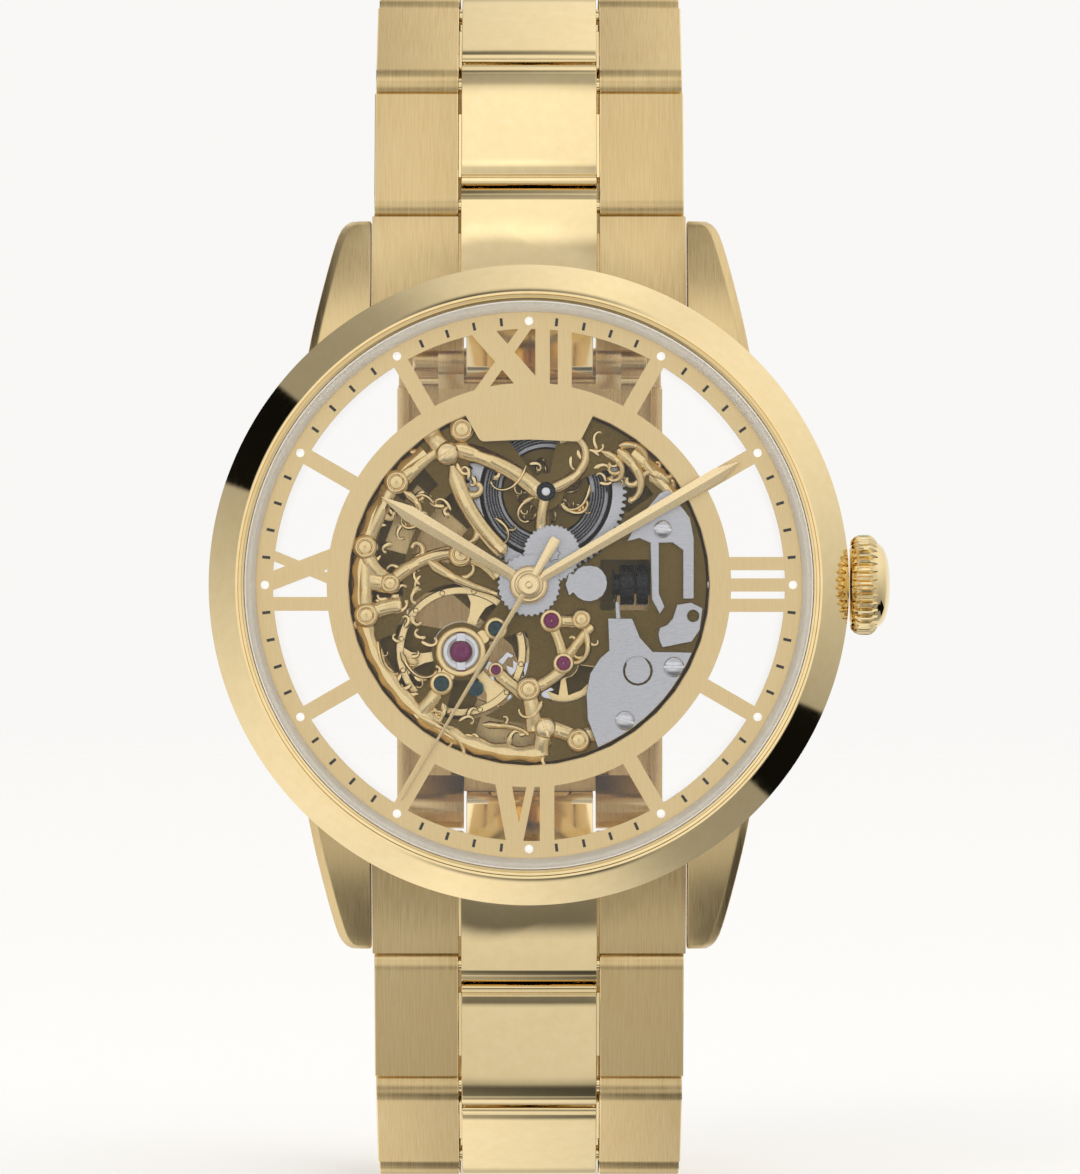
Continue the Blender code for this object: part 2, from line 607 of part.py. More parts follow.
def link_mesh(name, width, length, lead=None, short=0.0):
    """An H-shaped link with its first pin at the origin, z along the bracelet and -y outwards."""
    start = 0.0
    middle = plate(name, centre_profile(start, length, lead), -CENTRE_HALF, CENTRE_HALF, POLISHED, along="x",
                   hidden=True)
    outer = outer_profile(start, length, lead, short)
    low = (lead or 0) + 2.1
    tools = [
        plate(f"{name}_left", outer, -width / 2, -OUTER_IN, BRUSHED, along="x", hidden=True),
        plate(f"{name}_right", outer, OUTER_IN, width / 2, BRUSHED, along="x", hidden=True),
        plate(f"{name}_bar", [(-1.0, low), (1.0, low), (1.0, length - 2.2), (-1.0, length - 2.2)],
              -OUTER_IN - 0.6, OUTER_IN + 0.6, BRUSHED, along="x", hidden=True),
    ]
    tools.insert(0, tools.pop())
    for tool in tools:
        boolean(middle, tool, "UNION")
    bpy.context.view_layer.update()
    graph = bpy.context.evaluated_depsgraph_get()
    return bpy.data.meshes.new_from_object(middle.evaluated_get(graph))


def pins():
    """The (y, z) of each pin on the 12 o'clock side, from the lug to the clasp."""
    path = [FIRST_PIN]
    for heading in HEADINGS:
        y, z = path[-1]
        turn = math.radians(heading)
        path.append((y + PITCH * math.sin(turn), z + PITCH * math.cos(turn)))
    return path


def place(name, mesh, pin, heading, side):
    made = bpy.data.objects.new(name, mesh)
    made.location = (0, pin[0] * MM, side * pin[1] * MM)
    made.rotation_euler = (-math.radians(heading), 0 if side == 1 else math.pi, 0)
    bpy.context.collection.objects.link(made)
    return made


def make_bracelet():
    path = pins()
    last = len(HEADINGS)
    for number, (pin, heading, width) in enumerate(zip(path, HEADINGS, LINK_WIDTHS), 1):
        mesh = link_mesh(f"link_shape_{number}", width, PITCH)
        place(f"link_12_{number}", mesh, pin, heading, 1)
        if number == last:
            mesh = link_mesh("open_link_shape", width, PITCH, short=OPEN_GAP)
        place(f"link_6_{number}", mesh, pin, heading, -1)
    # An end link runs back from its pin into the case, whose round side trims it.
    mesh = link_mesh("end_link_shape", 2 * LUG_IN - 0.2, 0.0, -9.0)
    trim = turned("end_link_trim", [(CASE_R + 0.2, -20), (CASE_R + 0.2, 20)], BRUSHED, False, count=48,
                  hidden=True)
    for label, side in (("12", 1), ("6", -1)):
        end_link = place(f"end_link_{label}", mesh, FIRST_PIN, END_HEADING, side)
        boolean(end_link, trim, "DIFFERENCE")
    return path[-1]


# Clasp


def disc(centre, radius, start, end, steps=8):
    """An arc of a knuckle about (y, z)."""
    return [
        (centre[0] + radius * math.sin(math.radians(start + (end - start) * i / steps)),
         centre[1] + radius * math.cos(math.radians(start + (end - start) * i / steps)))
        for i in range(steps + 1)
    ]


def knuckles(name, centre, radius, spans):
    return [
        plate(f"{name}_knuckle_{i}", disc(centre, radius, 0, 337.5, 15), low, high, BRUSHED, along="x",
              hidden=True)
        for i, (low, high) in enumerate(spans)
    ]


def both(low, high):
    return ((low, high), (-high, -low))


def blade(name, outline, half_width, origin, tools):
    made = plate(name, outline, -half_width, half_width, BRUSHED, origin=(0, *origin), along="x")
    for tool in tools:
        boolean(made, tool, "UNION")
    return made


def webs(name, outline, spans):
    return [
        plate(f"{name}_web_{i}", outline, low, high, BRUSHED, along="x", hidden=True)
        for i, (low, high) in enumerate(spans)
    ]


def make_clasp(last):
    y, z = last
    ears = both(OUTER_IN, 6.8)
    inner = [(40.6, 15.0), (41.3, 15.0), (41.3, -12.0), (40.6, -12.0)]
    link_web = [(40.6, 14.6), (41.3, 14.6), (41.9, z - 0.3), (39.9, z - 0.3)]
    b_web = [(40.65, -11.8), (41.25, -11.8), (41.7, -13.2), (41.1, -13.3)]
    blade(
        "clasp_inner_blade", inner, 6.8, last,
        [*knuckles("inner_12", last, 1.35, ears), *webs("inner_12", link_web, ears),
         *knuckles("inner_b", HINGE_B, 0.85, ((-3.0, 3.0),)), *webs("inner_b", b_web, ((-3.0, 3.0),))],
    )
    middle = [(42.1, -12.4), (42.7, -12.4), (42.7, 12.5), (42.1, 12.5)]
    blade(
        "clasp_middle_blade", middle, 5.9, HINGE_B,
        [*knuckles("middle_b", HINGE_B, 0.85, both(3.2, 5.9)),
         *webs("middle_b", [(42.1, -12.3), (42.7, -12.3), (42.3, -13.3), (41.6, -13.3)], both(3.2, 5.9)),
         *knuckles("middle_c", HINGE_C, 0.85, ((-3.0, 3.0),)),
         *webs("middle_c", [(42.1, 12.2), (42.7, 12.2), (43.4, 13.3), (42.7, 13.5)], ((-3.0, 3.0),))],
    )
    cover_plate = [(43.95, 14.9), (44.95, 14.2), (44.95, -14.6), (44.5, -15.4), (43.95, -15.4)]
    wall = [(40.4, 14.6), (44.0, 14.8), (44.0, -15.4), *disc((y, -z), 1.35, 110, 270, 6), (39.7, -14.8)]
    ear = [(44.0, -14.2), (44.0, -15.4), *disc((y, -z), 1.35, 110, 360, 8)]
    cover = blade(
        "clasp_cover", cover_plate, 9.85, HINGE_C,
        [*webs("cover_wall", wall, both(9.0, 9.85)), *webs("cover_ear", ear, both(OUTER_IN, 9.3)),
         *knuckles("cover_c", HINGE_C, 0.85, both(3.2, 5.9)),
         *webs("cover_c", [(43.3, 12.7), (44.1, 12.4), (44.1, 14.1), (43.3, 14.1)], both(3.2, 5.9))],
    )
    slot = plate("button_slot", [(41.4, 2.0), (43.4, 2.0), (43.4, 6.0), (41.4, 6.0)], -12, 12, BRUSHED,
                 along="x", hidden=True)
    boolean(cover, slot, "DIFFERENCE")
    for name, side in (("clasp_button_right", 1), ("clasp_button_left", -1)):
        button = [(41.5, 2.1), (43.3, 2.1), (43.3, 5.9), (41.5, 5.9)]
        low, high = sorted((side * 8.6, side * 10.4))
        plate(name, button, low, high, POLISHED, origin=(side * 10.4, 42.4, 4.0), along="x")


make_case()
make_holder()
make_crown()
make_dial()
make_hands()
make_motion_work()
make_keyless_works()
make_mainplate()
make_train()
make_escapement()
make_bridges()
make_clasp(make_bracelet())
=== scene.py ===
# Skeleton wristwatch on a link bracelet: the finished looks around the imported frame.
# Sizes are in millimetres, and become metres where a mesh is made. Clock angles are in degrees: 0 is
# towards 12, and 90 towards 3.
import json
import math
import random

import bmesh
import bpy
from mathutils import Euler, Matrix, Vector
from mathutils.geometry import tessellate_polygon

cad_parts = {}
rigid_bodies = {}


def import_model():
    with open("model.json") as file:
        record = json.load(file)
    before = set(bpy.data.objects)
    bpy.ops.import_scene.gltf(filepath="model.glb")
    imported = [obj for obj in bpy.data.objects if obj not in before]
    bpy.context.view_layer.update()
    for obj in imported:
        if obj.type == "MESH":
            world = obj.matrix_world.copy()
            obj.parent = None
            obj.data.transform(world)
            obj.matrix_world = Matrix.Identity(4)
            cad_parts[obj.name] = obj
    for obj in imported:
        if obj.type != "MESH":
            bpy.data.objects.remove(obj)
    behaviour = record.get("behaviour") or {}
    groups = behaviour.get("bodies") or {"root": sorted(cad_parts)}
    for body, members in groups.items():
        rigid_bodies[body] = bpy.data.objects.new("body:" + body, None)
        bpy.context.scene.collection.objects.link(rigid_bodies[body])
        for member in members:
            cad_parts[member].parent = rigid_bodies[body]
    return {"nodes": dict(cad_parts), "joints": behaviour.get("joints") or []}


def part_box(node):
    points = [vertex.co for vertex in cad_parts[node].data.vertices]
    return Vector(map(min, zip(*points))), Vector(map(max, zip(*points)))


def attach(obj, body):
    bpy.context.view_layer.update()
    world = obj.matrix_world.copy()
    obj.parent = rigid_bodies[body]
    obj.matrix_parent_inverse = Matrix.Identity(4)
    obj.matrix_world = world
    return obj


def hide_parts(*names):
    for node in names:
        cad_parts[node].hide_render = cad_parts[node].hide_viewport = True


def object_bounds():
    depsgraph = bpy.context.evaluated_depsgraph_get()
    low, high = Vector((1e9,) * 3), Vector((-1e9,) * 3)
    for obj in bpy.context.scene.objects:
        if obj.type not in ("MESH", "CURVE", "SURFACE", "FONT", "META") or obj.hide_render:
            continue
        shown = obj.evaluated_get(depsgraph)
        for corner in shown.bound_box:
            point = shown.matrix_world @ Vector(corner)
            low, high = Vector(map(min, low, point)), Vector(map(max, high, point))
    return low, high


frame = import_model()
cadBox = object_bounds()
mm = 0.001
joints = {joint["name"]: joint for joint in frame["joints"]}


# Points in the dial's plane, as (x, z)

def polar(radius, clock, centre=(0, 0)):
    turn = math.radians(clock)
    return (centre[0] + radius * math.sin(turn), centre[1] + radius * math.cos(turn))


def arcPoints(radius, start, end, steps, centre=(0, 0)):
    return [polar(radius, start + (end - start) * i / steps, centre) for i in range(steps + 1)]


def circlePoints(radius, count, centre=(0, 0)):
    return [polar(radius, 360 * i / count, centre) for i in range(count)]


def sectorPoints(inner, outer, start, end, centre=(0, 0), steps=16):
    return arcPoints(outer, start, end, steps, centre) + arcPoints(inner, end, start, steps, centre)


def gearPoints(root, tip, count, phase, centre=(0, 0)):
    step = 360 / count
    tooth = ((-0.36, root), (-0.15, tip), (0.15, tip), (0.36, root))
    return [polar(radius, phase + step * (i + share), centre) for i in range(count) for share, radius in tooth]


def barPoints(x0, z0, x1, z1, width):
    along = Vector((x1 - x0, z1 - z0)).normalized()
    side = Vector((along.y, -along.x)) * width / 2
    start, end = Vector((x0, z0)), Vector((x1, z1))
    return [tuple(start + side), tuple(end + side), tuple(end - side), tuple(start - side)]


def filleted(points, radius, steps=4):  # rounds every corner of a closed outline
    made = []
    for i, corner in enumerate(points):
        here, before, after = Vector(corner), Vector(points[i - 1]), Vector(points[(i + 1) % len(points)])
        back, ahead = before - here, after - here
        reach = min(radius, back.length * 0.45, ahead.length * 0.45)
        start, end = here + back.normalized() * reach, here + ahead.normalized() * reach
        for k in range(steps + 1):
            t = k / steps
            made.append(tuple(start * (1 - t) ** 2 + here * 2 * t * (1 - t) + end * t * t))
    return made


def smoothPath(points, steps):  # a curve through every point
    vectors = [Vector(point) for point in points]
    path = []
    for i in range(len(vectors) - 1):
        a, b, c, d = vectors[max(i - 1, 0)], vectors[i], vectors[i + 1], vectors[min(i + 2, len(vectors) - 1)]
        for k in range(steps):
            t = k / steps
            path.append(0.5 * (2 * b + (c - a) * t + (2 * a - 5 * b + 4 * c - d) * t * t
                               + (3 * b - a - 3 * c + d) * t ** 3))
    path.append(vectors[-1])
    return path


# Meshes

def toMesh(built, normals=True):
    bmesh.ops.remove_doubles(built, verts=built.verts, dist=1e-4)
    if normals:
        bmesh.ops.recalc_face_normals(built, faces=built.faces)
    built.transform(Matrix.Scale(mm, 4))
    mesh = bpy.data.meshes.new("piece")
    built.to_mesh(mesh)
    built.free()
    return mesh


def joinRows(built, rows):  # a closed skin over rows of the same number of corners
    for here, there in zip(rows, rows[1:]):
        for i in range(len(here)):
            j = (i + 1) % len(here)
            built.faces.new((here[i], here[j], there[j], there[i]))
    if rows:
        built.faces.new(rows[0])
        built.faces.new(rows[-1])


def bevelEdges(built, width, segments=2, angle=35, material=-1):
    sharp = [edge for edge in built.edges
             if len(edge.link_faces) == 2 and edge.calc_face_angle(0) > math.radians(angle)]
    if sharp and width:
        bmesh.ops.bevel(built, geom=sharp, offset=width, segments=segments, affect="EDGES", profile=0.5,
                        clamp_overlap=True, material=material)


def plateMesh(outline, start, end, holes=(), bevel=0.0, segments=2, along="y", bevelMaterial=-1):
    # a flat plate from start to end along y or x, with an outline across that way
    def at(point, level):
        return (point[0], level, point[1]) if along == "y" else (level, point[0], point[1])

    loops = [list(outline), *[list(hole) for hole in holes]]
    flat = [point for loop in loops for point in loop]
    triangles = tessellate_polygon([[Vector((*point, 0)) for point in loop] for loop in loops])
    built = bmesh.new()
    near = [built.verts.new(at(point, start)) for point in flat]
    far = [built.verts.new(at(point, end)) for point in flat]
    for corners in triangles:
        built.faces.new([near[i] for i in corners])
        built.faces.new([far[i] for i in corners])
    first = 0
    for loop in loops:
        for i in range(len(loop)):
            a, b = first + i, first + (i + 1) % len(loop)
            built.faces.new((near[a], near[b], far[b], far[a]))
        first += len(loop)
    bmesh.ops.recalc_face_normals(built, faces=built.faces)
    bmesh.ops.dissolve_limit(built, angle_limit=math.radians(0.5), verts=built.verts, edges=built.edges)
    bevelEdges(built, bevel, segments, material=bevelMaterial)
    return toMesh(built)


def turnedMesh(profile, centre=(0, 0), count=96, along="y", closed=False):
    # profile is (radius, level); a closed one makes a ring, and an open one runs from axis to axis
    def at(radius, level, clock):
        a, b = polar(radius, clock, centre)
        return (a, level, b) if along == "y" else (level, a, b)

    built = bmesh.new()
    rows = []
    for radius, level in profile:
        turns = 1 if radius < 1e-6 else count
        rows.append([built.verts.new(at(radius, level, 360 * i / count)) for i in range(turns)])
    pairs = list(zip(rows, rows[1:])) + ([(rows[-1], rows[0])] if closed else [])
    for here, there in pairs:
        for i in range(count):
            j = (i + 1) % count
            corners = [here[i % len(here)], here[j % len(here)], there[j % len(there)], there[i % len(there)]]
            corners = list(dict.fromkeys(corners))
            if len(corners) > 2:
                built.faces.new(corners)
    return toMesh(built)


def tubeMesh(paths, sides):
    # each path is (points, width at each point, height at each point), with points as (x, y, z)
    built = bmesh.new()
    for points, widths, heights in paths:
        rows = []
        for i, point in enumerate(points):
            ahead = Vector(points[min(i + 1, len(points) - 1)]) - Vector(points[max(i - 1, 0)])
            ahead = ahead.normalized() if ahead.length > 1e-9 else Vector((1, 0, 0))
            up = Vector((0, 1, 0)) if abs(ahead.y) < 0.9 else Vector((0, 0, 1))
            side = ahead.cross(up).normalized()
            over = side.cross(ahead)
            rows.append([
                built.verts.new(Vector(point) + side * widths[i] * math.cos(2 * math.pi * k / sides)
                                + over * heights[i] * math.sin(2 * math.pi * k / sides))
                for k in range(sides)
            ])
        joinRows(built, rows)
    return toMesh(built)


def joinedMesh(meshes):
    built = bmesh.new()
    for mesh in meshes:
        built.from_mesh(mesh)
        bpy.data.meshes.remove(mesh)
    mesh = bpy.data.meshes.new("joined")
    built.to_mesh(mesh)
    built.free()
    return mesh


def nodeMesh(node, bevel, segments=2, bevelMaterial=-1):  # a copy of a CAD node with its edges broken
    built = bmesh.new()
    built.from_mesh(frame["nodes"][node].data)
    built.transform(Matrix.Scale(1 / mm, 4))
    bmesh.ops.remove_doubles(built, verts=built.verts, dist=2e-4)
    bmesh.ops.dissolve_limit(built, angle_limit=math.radians(1), verts=built.verts, edges=built.edges)
    for face in built.faces:
        face.material_index = 0
    bevelEdges(built, bevel, segments, material=bevelMaterial)
    return toMesh(built, normals=False)


def temporary(mesh):
    made = bpy.data.objects.new("temporary", mesh)
    bpy.context.scene.collection.objects.link(made)
    return made


def evaluated(made):  # the object's finished mesh, with the object itself removed
    bpy.context.view_layer.update()
    graph = bpy.context.evaluated_depsgraph_get()
    mesh = bpy.data.meshes.new_from_object(made.evaluated_get(graph))
    bpy.data.objects.remove(made)
    return mesh


def combined(base, tools, operation="UNION", bevel=0.0, segments=2):
    group = bpy.data.collections.new("tools")
    for tool in tools:
        group.objects.link(bpy.data.objects.new("tool", tool))
    made = temporary(base)
    cut = made.modifiers.new("cut", "BOOLEAN")
    cut.operation, cut.solver = operation, "EXACT"
    cut.operand_type, cut.collection = "COLLECTION", group
    bpy.context.scene.collection.children.link(group)
    mesh = evaluated(made)
    for tool in list(group.objects):
        bpy.data.objects.remove(tool)
    bpy.data.collections.remove(group)
    built = bmesh.new()
    built.from_mesh(mesh)
    built.transform(Matrix.Scale(1 / mm, 4))
    bmesh.ops.remove_doubles(built, verts=built.verts, dist=5e-4)
    bmesh.ops.dissolve_limit(built, angle_limit=math.radians(0.5), verts=built.verts, edges=built.edges)
    bevelEdges(built, bevel, segments)
    return toMesh(built)


def finishPiece(name, mesh, body, looks, replaces=(), angle=32):
    mesh.name = name
    for look in looks if isinstance(looks, (list, tuple)) else [looks]:
        mesh.materials.append(look)
    mesh.shade_smooth()
    mesh.set_sharp_from_angle(angle=math.radians(angle))
    for face in mesh.polygons:  # the flat faces of plates stay flat to their edges
        if abs(face.normal.y) > 0.9999:
            face.use_smooth = False
    made = bpy.data.objects.new(name, mesh)
    bpy.context.scene.collection.objects.link(made)
    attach(made, body)
    if replaces:
        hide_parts(*replaces)
    return made


# Materials

def linear(code):
    values = [int(code[i:i + 2], 16) / 255 for i in (1, 3, 5)]
    return (*[v / 12.92 if v <= 0.04045 else ((v + 0.055) / 1.055) ** 2.4 for v in values], 1)


def setInputs(tree, node, inputs):  # a node given as a value means its first output
    for key, value in inputs.items():
        if isinstance(value, bpy.types.Node):
            value = value.outputs[0]
        if isinstance(value, bpy.types.NodeSocket):
            tree.links.new(value, node.inputs[key])
        else:
            node.inputs[key].default_value = value


def addNode(tree, kind, inputs=None, **settings):
    made = tree.nodes.new(kind)
    for key, value in settings.items():
        if key == "stops":
            for stop, (position, colour) in zip(made.color_ramp.elements, value):
                stop.position, stop.color = position, linear(colour)
        else:
            setattr(made, key, value)
    setInputs(tree, made, inputs or {})
    return made


def newLook(name, inputs):
    look = bpy.data.materials.new(name)
    look.use_nodes = True
    shader = look.node_tree.nodes["Principled BSDF"]
    setInputs(look.node_tree, shader, inputs)
    return look, look.node_tree, shader


def metalLook(name, colours, roughness, grain, height, spread):
    # A plated or bare metal. grain is the size in mm of the finest mark along x, y and z: equal for a blasted
    # or polished surface, and long one way for a brushed one. height is in mm, colours are the marks' two
    # tones, and spread is how far the roughness strays.
    look, tree, shader = newLook(name, {"Metallic": 1.0})
    place = addNode(tree, "ShaderNodeTexCoord").outputs["Object"]
    scaled = addNode(tree, "ShaderNodeMapping", {"Vector": place, "Scale": [1 / (size * mm)
                                                                            for size in grain]})
    marks = addNode(tree, "ShaderNodeTexNoise", {"Vector": scaled, "Scale": 1.0, "Detail": 3.0,
                                                 "Roughness": 0.6})
    patches = addNode(tree, "ShaderNodeTexNoise", {"Vector": place, "Scale": 140.0, "Detail": 2.0})
    mixed = addNode(tree, "ShaderNodeMath", {0: patches, 1: 0.35, 2: marks}, operation="MULTIPLY_ADD")
    tone = addNode(tree, "ShaderNodeValToRGB", {"Fac": mixed}, stops=((0.42, colours[0]), (0.95, colours[1])))
    rough = addNode(tree, "ShaderNodeMapRange", {
        "Value": mixed, "From Min": 0.4, "From Max": 1.0, "To Min": roughness - spread,
        "To Max": roughness + spread})
    bump = addNode(tree, "ShaderNodeBump", {"Height": marks, "Distance": height * mm, "Strength": 1.0})
    setInputs(tree, shader, {"Base Color": tone, "Roughness": rough, "Normal": bump})
    return look


print("materials")
# Stainless steel with a vapour-deposited gold-tone coat, buffed to a mirror that shows the studio sharply.
polishedGold = metalLook("mirrorPolishedGoldPlatedSteel", ("#EFD8A4", "#F6E0B0"), 0.055, (0.8, 0.8, 0.8),
                         0.0005, 0.025)
# The same coat over steel drawn along a belt: lines along the bracelet that blur what they reflect.
brushedGold = metalLook("beltBrushedGoldPlatedSteel", ("#D0B37C", "#EAD3A2"), 0.33, (0.085, 2.4, 2.4), 0.006,
                        0.07)
# The hands, plated and diamond-cut: bright, and just soft enough to stay gold where they face a dark studio.
handGold = metalLook("diamondCutGiltBrass", ("#EBD19C", "#F7E3B8"), 0.2, (0.12, 0.4, 0.12), 0.0012, 0.04)
# The case flanks and the rotor, drawn more finely.
satinGold = metalLook("satinBrushedGoldPlatedSteel", ("#D6BB86", "#EAD2A0"), 0.3, (0.06, 1.6, 1.6), 0.003,
                      0.05)
# Stamped brass, drawn vertically and plated, for the open dial.
dialGold = metalLook("verticalBrushedGiltBrass", ("#E8CC96", "#F5DDA8"), 0.36, (0.05, 1.0, 1.4), 0.0022, 0.05)
# Cast and gilt brass for the bridges' raised scrolls: soft, bright, and slightly uneven.
giltBright = metalLook("castGiltBrass", ("#E6CB90", "#F4DEAE"), 0.24, (0.25, 0.25, 0.25), 0.004, 0.06)
# The plate below it, blasted to a matt gold, with painted shade: its colour is a dark olive, much darker than
# the scrolls' gilt, standing in for the shade in the recess under the scrolls.
giltWithPaintedShade = metalLook("beadBlastedGiltBrassPaintedShade", ("#574720", "#85713F"), 0.4, (0.07, 0.07, 0.07), 0.008, 0.06)
# Rhodium-plated steel plates of the winding works, drawn along one way.
steelSatin = metalLook("satinBrushedRhodiumSteel", ("#B4B6BC", "#CDCED4"), 0.3, (0.6, 0.6, 0.05), 0.0025, 0.05)
# Screws and pivots rubbed flat on tin: near mirrors, so they go from white to black with the angle.
steelPolished = metalLook("blackPolishedSteel", ("#C4C6CC", "#D8D9DE"), 0.12, (0.5, 0.5, 0.5), 0.001, 0.03)
# Heat-blackened spring steel and the clutch: dark, with a low sheen.
blackSteel = metalLook("blackenedSteel", ("#1B1C20", "#34363C"), 0.28, (0.2, 0.2, 0.2), 0.002, 0.06)


def jewelLook(name, deep, bright):
    # Synthetic corundum, turned and polished: deep colour with a painted glow that lightens it towards the
    # glancing edges, standing in for light passing through where it is thin.
    look, tree, shader = newLook(name, {"Roughness": 0.08, "IOR": 1.5})
    # the painted glow: brighter the more glancing the view
    facing = addNode(tree, "ShaderNodeLayerWeight", {"Blend": 0.35}).outputs["Facing"]
    tone = addNode(tree, "ShaderNodeValToRGB", {"Fac": facing}, stops=((0.0, deep), (0.8, bright)))
    place = addNode(tree, "ShaderNodeTexCoord").outputs["Object"]
    cloud = addNode(tree, "ShaderNodeTexNoise", {"Vector": place, "Scale": 2500.0}).outputs[1]
    mixed = addNode(tree, "ShaderNodeMix", {0: 0.5, 6: tone, 7: cloud}, data_type="RGBA",
                    blend_type="SOFT_LIGHT")
    setInputs(tree, shader, {"Base Color": mixed.outputs[2]})
    return look


ruby = jewelLook("polishedSyntheticRuby", "#6E0250", "#C42488")
tealJewel = jewelLook("polishedBlueGreenCorundum", "#06303C", "#2A7C8A")


def crystalLook():
    # Flat sapphire crystal: colourless, so only its surface reflection shows, more of it at a glancing angle.
    look, tree, shader = newLook("clearSapphireCrystal", {
        "Metallic": 1.0, "Roughness": 0.02, "Base Color": linear("#FFFFFF")})
    facing = addNode(tree, "ShaderNodeFresnel", {"IOR": 1.6})
    place = addNode(tree, "ShaderNodeTexCoord").outputs["Object"]
    faint = addNode(tree, "ShaderNodeTexNoise", {"Vector": place, "Scale": 90.0})
    share = addNode(tree, "ShaderNodeMath", {0: facing, 1: 0.28}, operation="MULTIPLY")
    shown = addNode(tree, "ShaderNodeMath", {0: faint, 1: 0.004, 2: share}, operation="MULTIPLY_ADD")
    setInputs(tree, shader, {"Alpha": shown})
    return look


def plainLook(name, colours, roughness, size, glow=0.0):
    # A non-metal with a faint mottle and a fine surface grain of that size in mm; glow is an emission
    # strength, a painted glow
    look, tree, shader = newLook(name, {
        "Roughness": roughness, "Emission Color": linear("#FFFFFF"), "Emission Strength": glow})
    place = addNode(tree, "ShaderNodeTexCoord").outputs["Object"]
    grain = addNode(tree, "ShaderNodeTexNoise", {"Vector": place, "Scale": 1 / (size * mm), "Detail": 4.0})
    tone = addNode(tree, "ShaderNodeValToRGB", {"Fac": grain}, stops=((0.3, colours[0]), (0.7, colours[1])))
    bump = addNode(tree, "ShaderNodeBump", {"Height": grain, "Distance": 0.004 * mm})
    setInputs(tree, shader, {"Base Color": tone, "Normal": bump})
    return look


crystalClear = crystalLook()
# Moulded polymer gasket that seats the crystal: milky, soft edged.
gasketNylon = plainLook("mouldedNylonGasket", ("#F3ECDD", "#FBF6EC"), 0.5, 0.3)
# Pad-printed lacquer: a dense black with a slight gloss.
printBlack = plainLook("padPrintedBlackLacquer", ("#141210", "#221F1B"), 0.35, 0.1)
# Luminous paint in raised dots: chalky white, with a painted glow from a faint emission that makes the dots
# brighter than the lamps light them.
lumeWithPaintedGlow = plainLook("whiteLumePaintPaintedGlow", ("#FAF9F4", "#FFFFFF"), 0.6, 0.06, 0.3)


# Geometry Nodes trees

def newTree(name, inputs):
    tree = bpy.data.node_groups.new(name, "GeometryNodeTree")
    tree.interface.new_socket("Geometry", in_out="OUTPUT", socket_type="NodeSocketGeometry")
    for label, kind in inputs.items():
        tree.interface.new_socket(label, in_out="INPUT", socket_type=f"NodeSocket{kind}")
    return tree, addNode(tree, "NodeGroupInput").outputs


def endTree(tree, given, instances):
    real = addNode(tree, "GeometryNodeRealizeInstances", {0: instances})
    looked = addNode(tree, "GeometryNodeSetMaterial", {"Geometry": real, "Material": given["Material"]})
    addNode(tree, "NodeGroupOutput", {0: looked})
    return tree


def makeRingTree():  # copies of a shape, evenly round the y axis or round the stem, facing outwards
    tree, given = newTree("ringOfShapes", {"Shape": "Object", "Count": "Int", "Phase": "Float",
                                           "Axis": "Vector", "Centre": "Vector", "Material": "Material"})
    spots = addNode(tree, "GeometryNodeMeshLine", {"Count": given["Count"], "Offset": [0, 0, 0]},
                    mode="OFFSET")
    index = addNode(tree, "GeometryNodeInputIndex")
    step = addNode(tree, "ShaderNodeMath", {0: 2 * math.pi, 1: given["Count"]}, operation="DIVIDE")
    turn = addNode(tree, "ShaderNodeMath", {0: index, 1: step, 2: given["Phase"]}, operation="MULTIPLY_ADD")
    turned = addNode(tree, "FunctionNodeAxisAngleToRotation", {"Axis": given["Axis"], "Angle": turn})
    shape = addNode(tree, "GeometryNodeObjectInfo", {"Object": given["Shape"]}).outputs["Geometry"]
    copies = addNode(tree, "GeometryNodeInstanceOnPoints", {"Points": spots, "Instance": shape,
                                                            "Rotation": turned})
    return endTree(tree, given, addNode(tree, "GeometryNodeTranslateInstances", {
        "Instances": copies, "Translation": given["Centre"], "Local Space": False}))


def makeSpotTree():  # copies of a shape on the points of a mesh, each turned about y at random and scaled
    tree, given = newTree("shapesOnSpots", {"Spots": "Object", "Shape": "Object", "Seed": "Int",
                                            "Turn": "Float", "Material": "Material"})
    spots = addNode(tree, "GeometryNodeObjectInfo", {"Object": given["Spots"]}).outputs["Geometry"]
    shape = addNode(tree, "GeometryNodeObjectInfo", {"Object": given["Shape"]}).outputs["Geometry"]
    chance = addNode(tree, "FunctionNodeRandomValue", {2: 0.0, 3: given["Turn"], "Seed": given["Seed"]},
                     data_type="FLOAT")
    about = addNode(tree, "ShaderNodeCombineXYZ", {"Y": chance.outputs[1]})
    size = addNode(tree, "GeometryNodeInputNamedAttribute", {"Name": "size"}, data_type="FLOAT")
    return endTree(tree, given, addNode(tree, "GeometryNodeInstanceOnPoints", {
        "Points": spots, "Instance": shape, "Rotation": about, "Scale": size}))


def makeCoilTree():  # a flat spiral band, such as a hairspring
    tree, given = newTree("flatCoil", {"Turns": "Float", "Start": "Float", "End": "Float", "Steps": "Int",
                                       "Thickness": "Float", "Height": "Float", "Centre": "Vector",
                                       "Material": "Material"})
    curve = addNode(tree, "GeometryNodeCurveSpiral", {
        "Resolution": given["Steps"], "Rotations": given["Turns"], "Start Radius": given["Start"],
        "End Radius": given["End"], "Height": 0.0})
    band = addNode(tree, "GeometryNodeCurvePrimitiveQuadrilateral", {
        "Width": given["Thickness"], "Height": given["Height"]}, mode="RECTANGLE")
    swept = addNode(tree, "GeometryNodeCurveToMesh", {"Curve": curve, "Profile Curve": band,
                                                      "Fill Caps": True})
    return endTree(tree, given, addNode(tree, "GeometryNodeTransform", {
        "Geometry": swept, "Translation": given["Centre"], "Rotation": [math.pi / 2, 0, 0]}))


ringTree, spotTree, coilTree = makeRingTree(), makeSpotTree(), makeCoilTree()


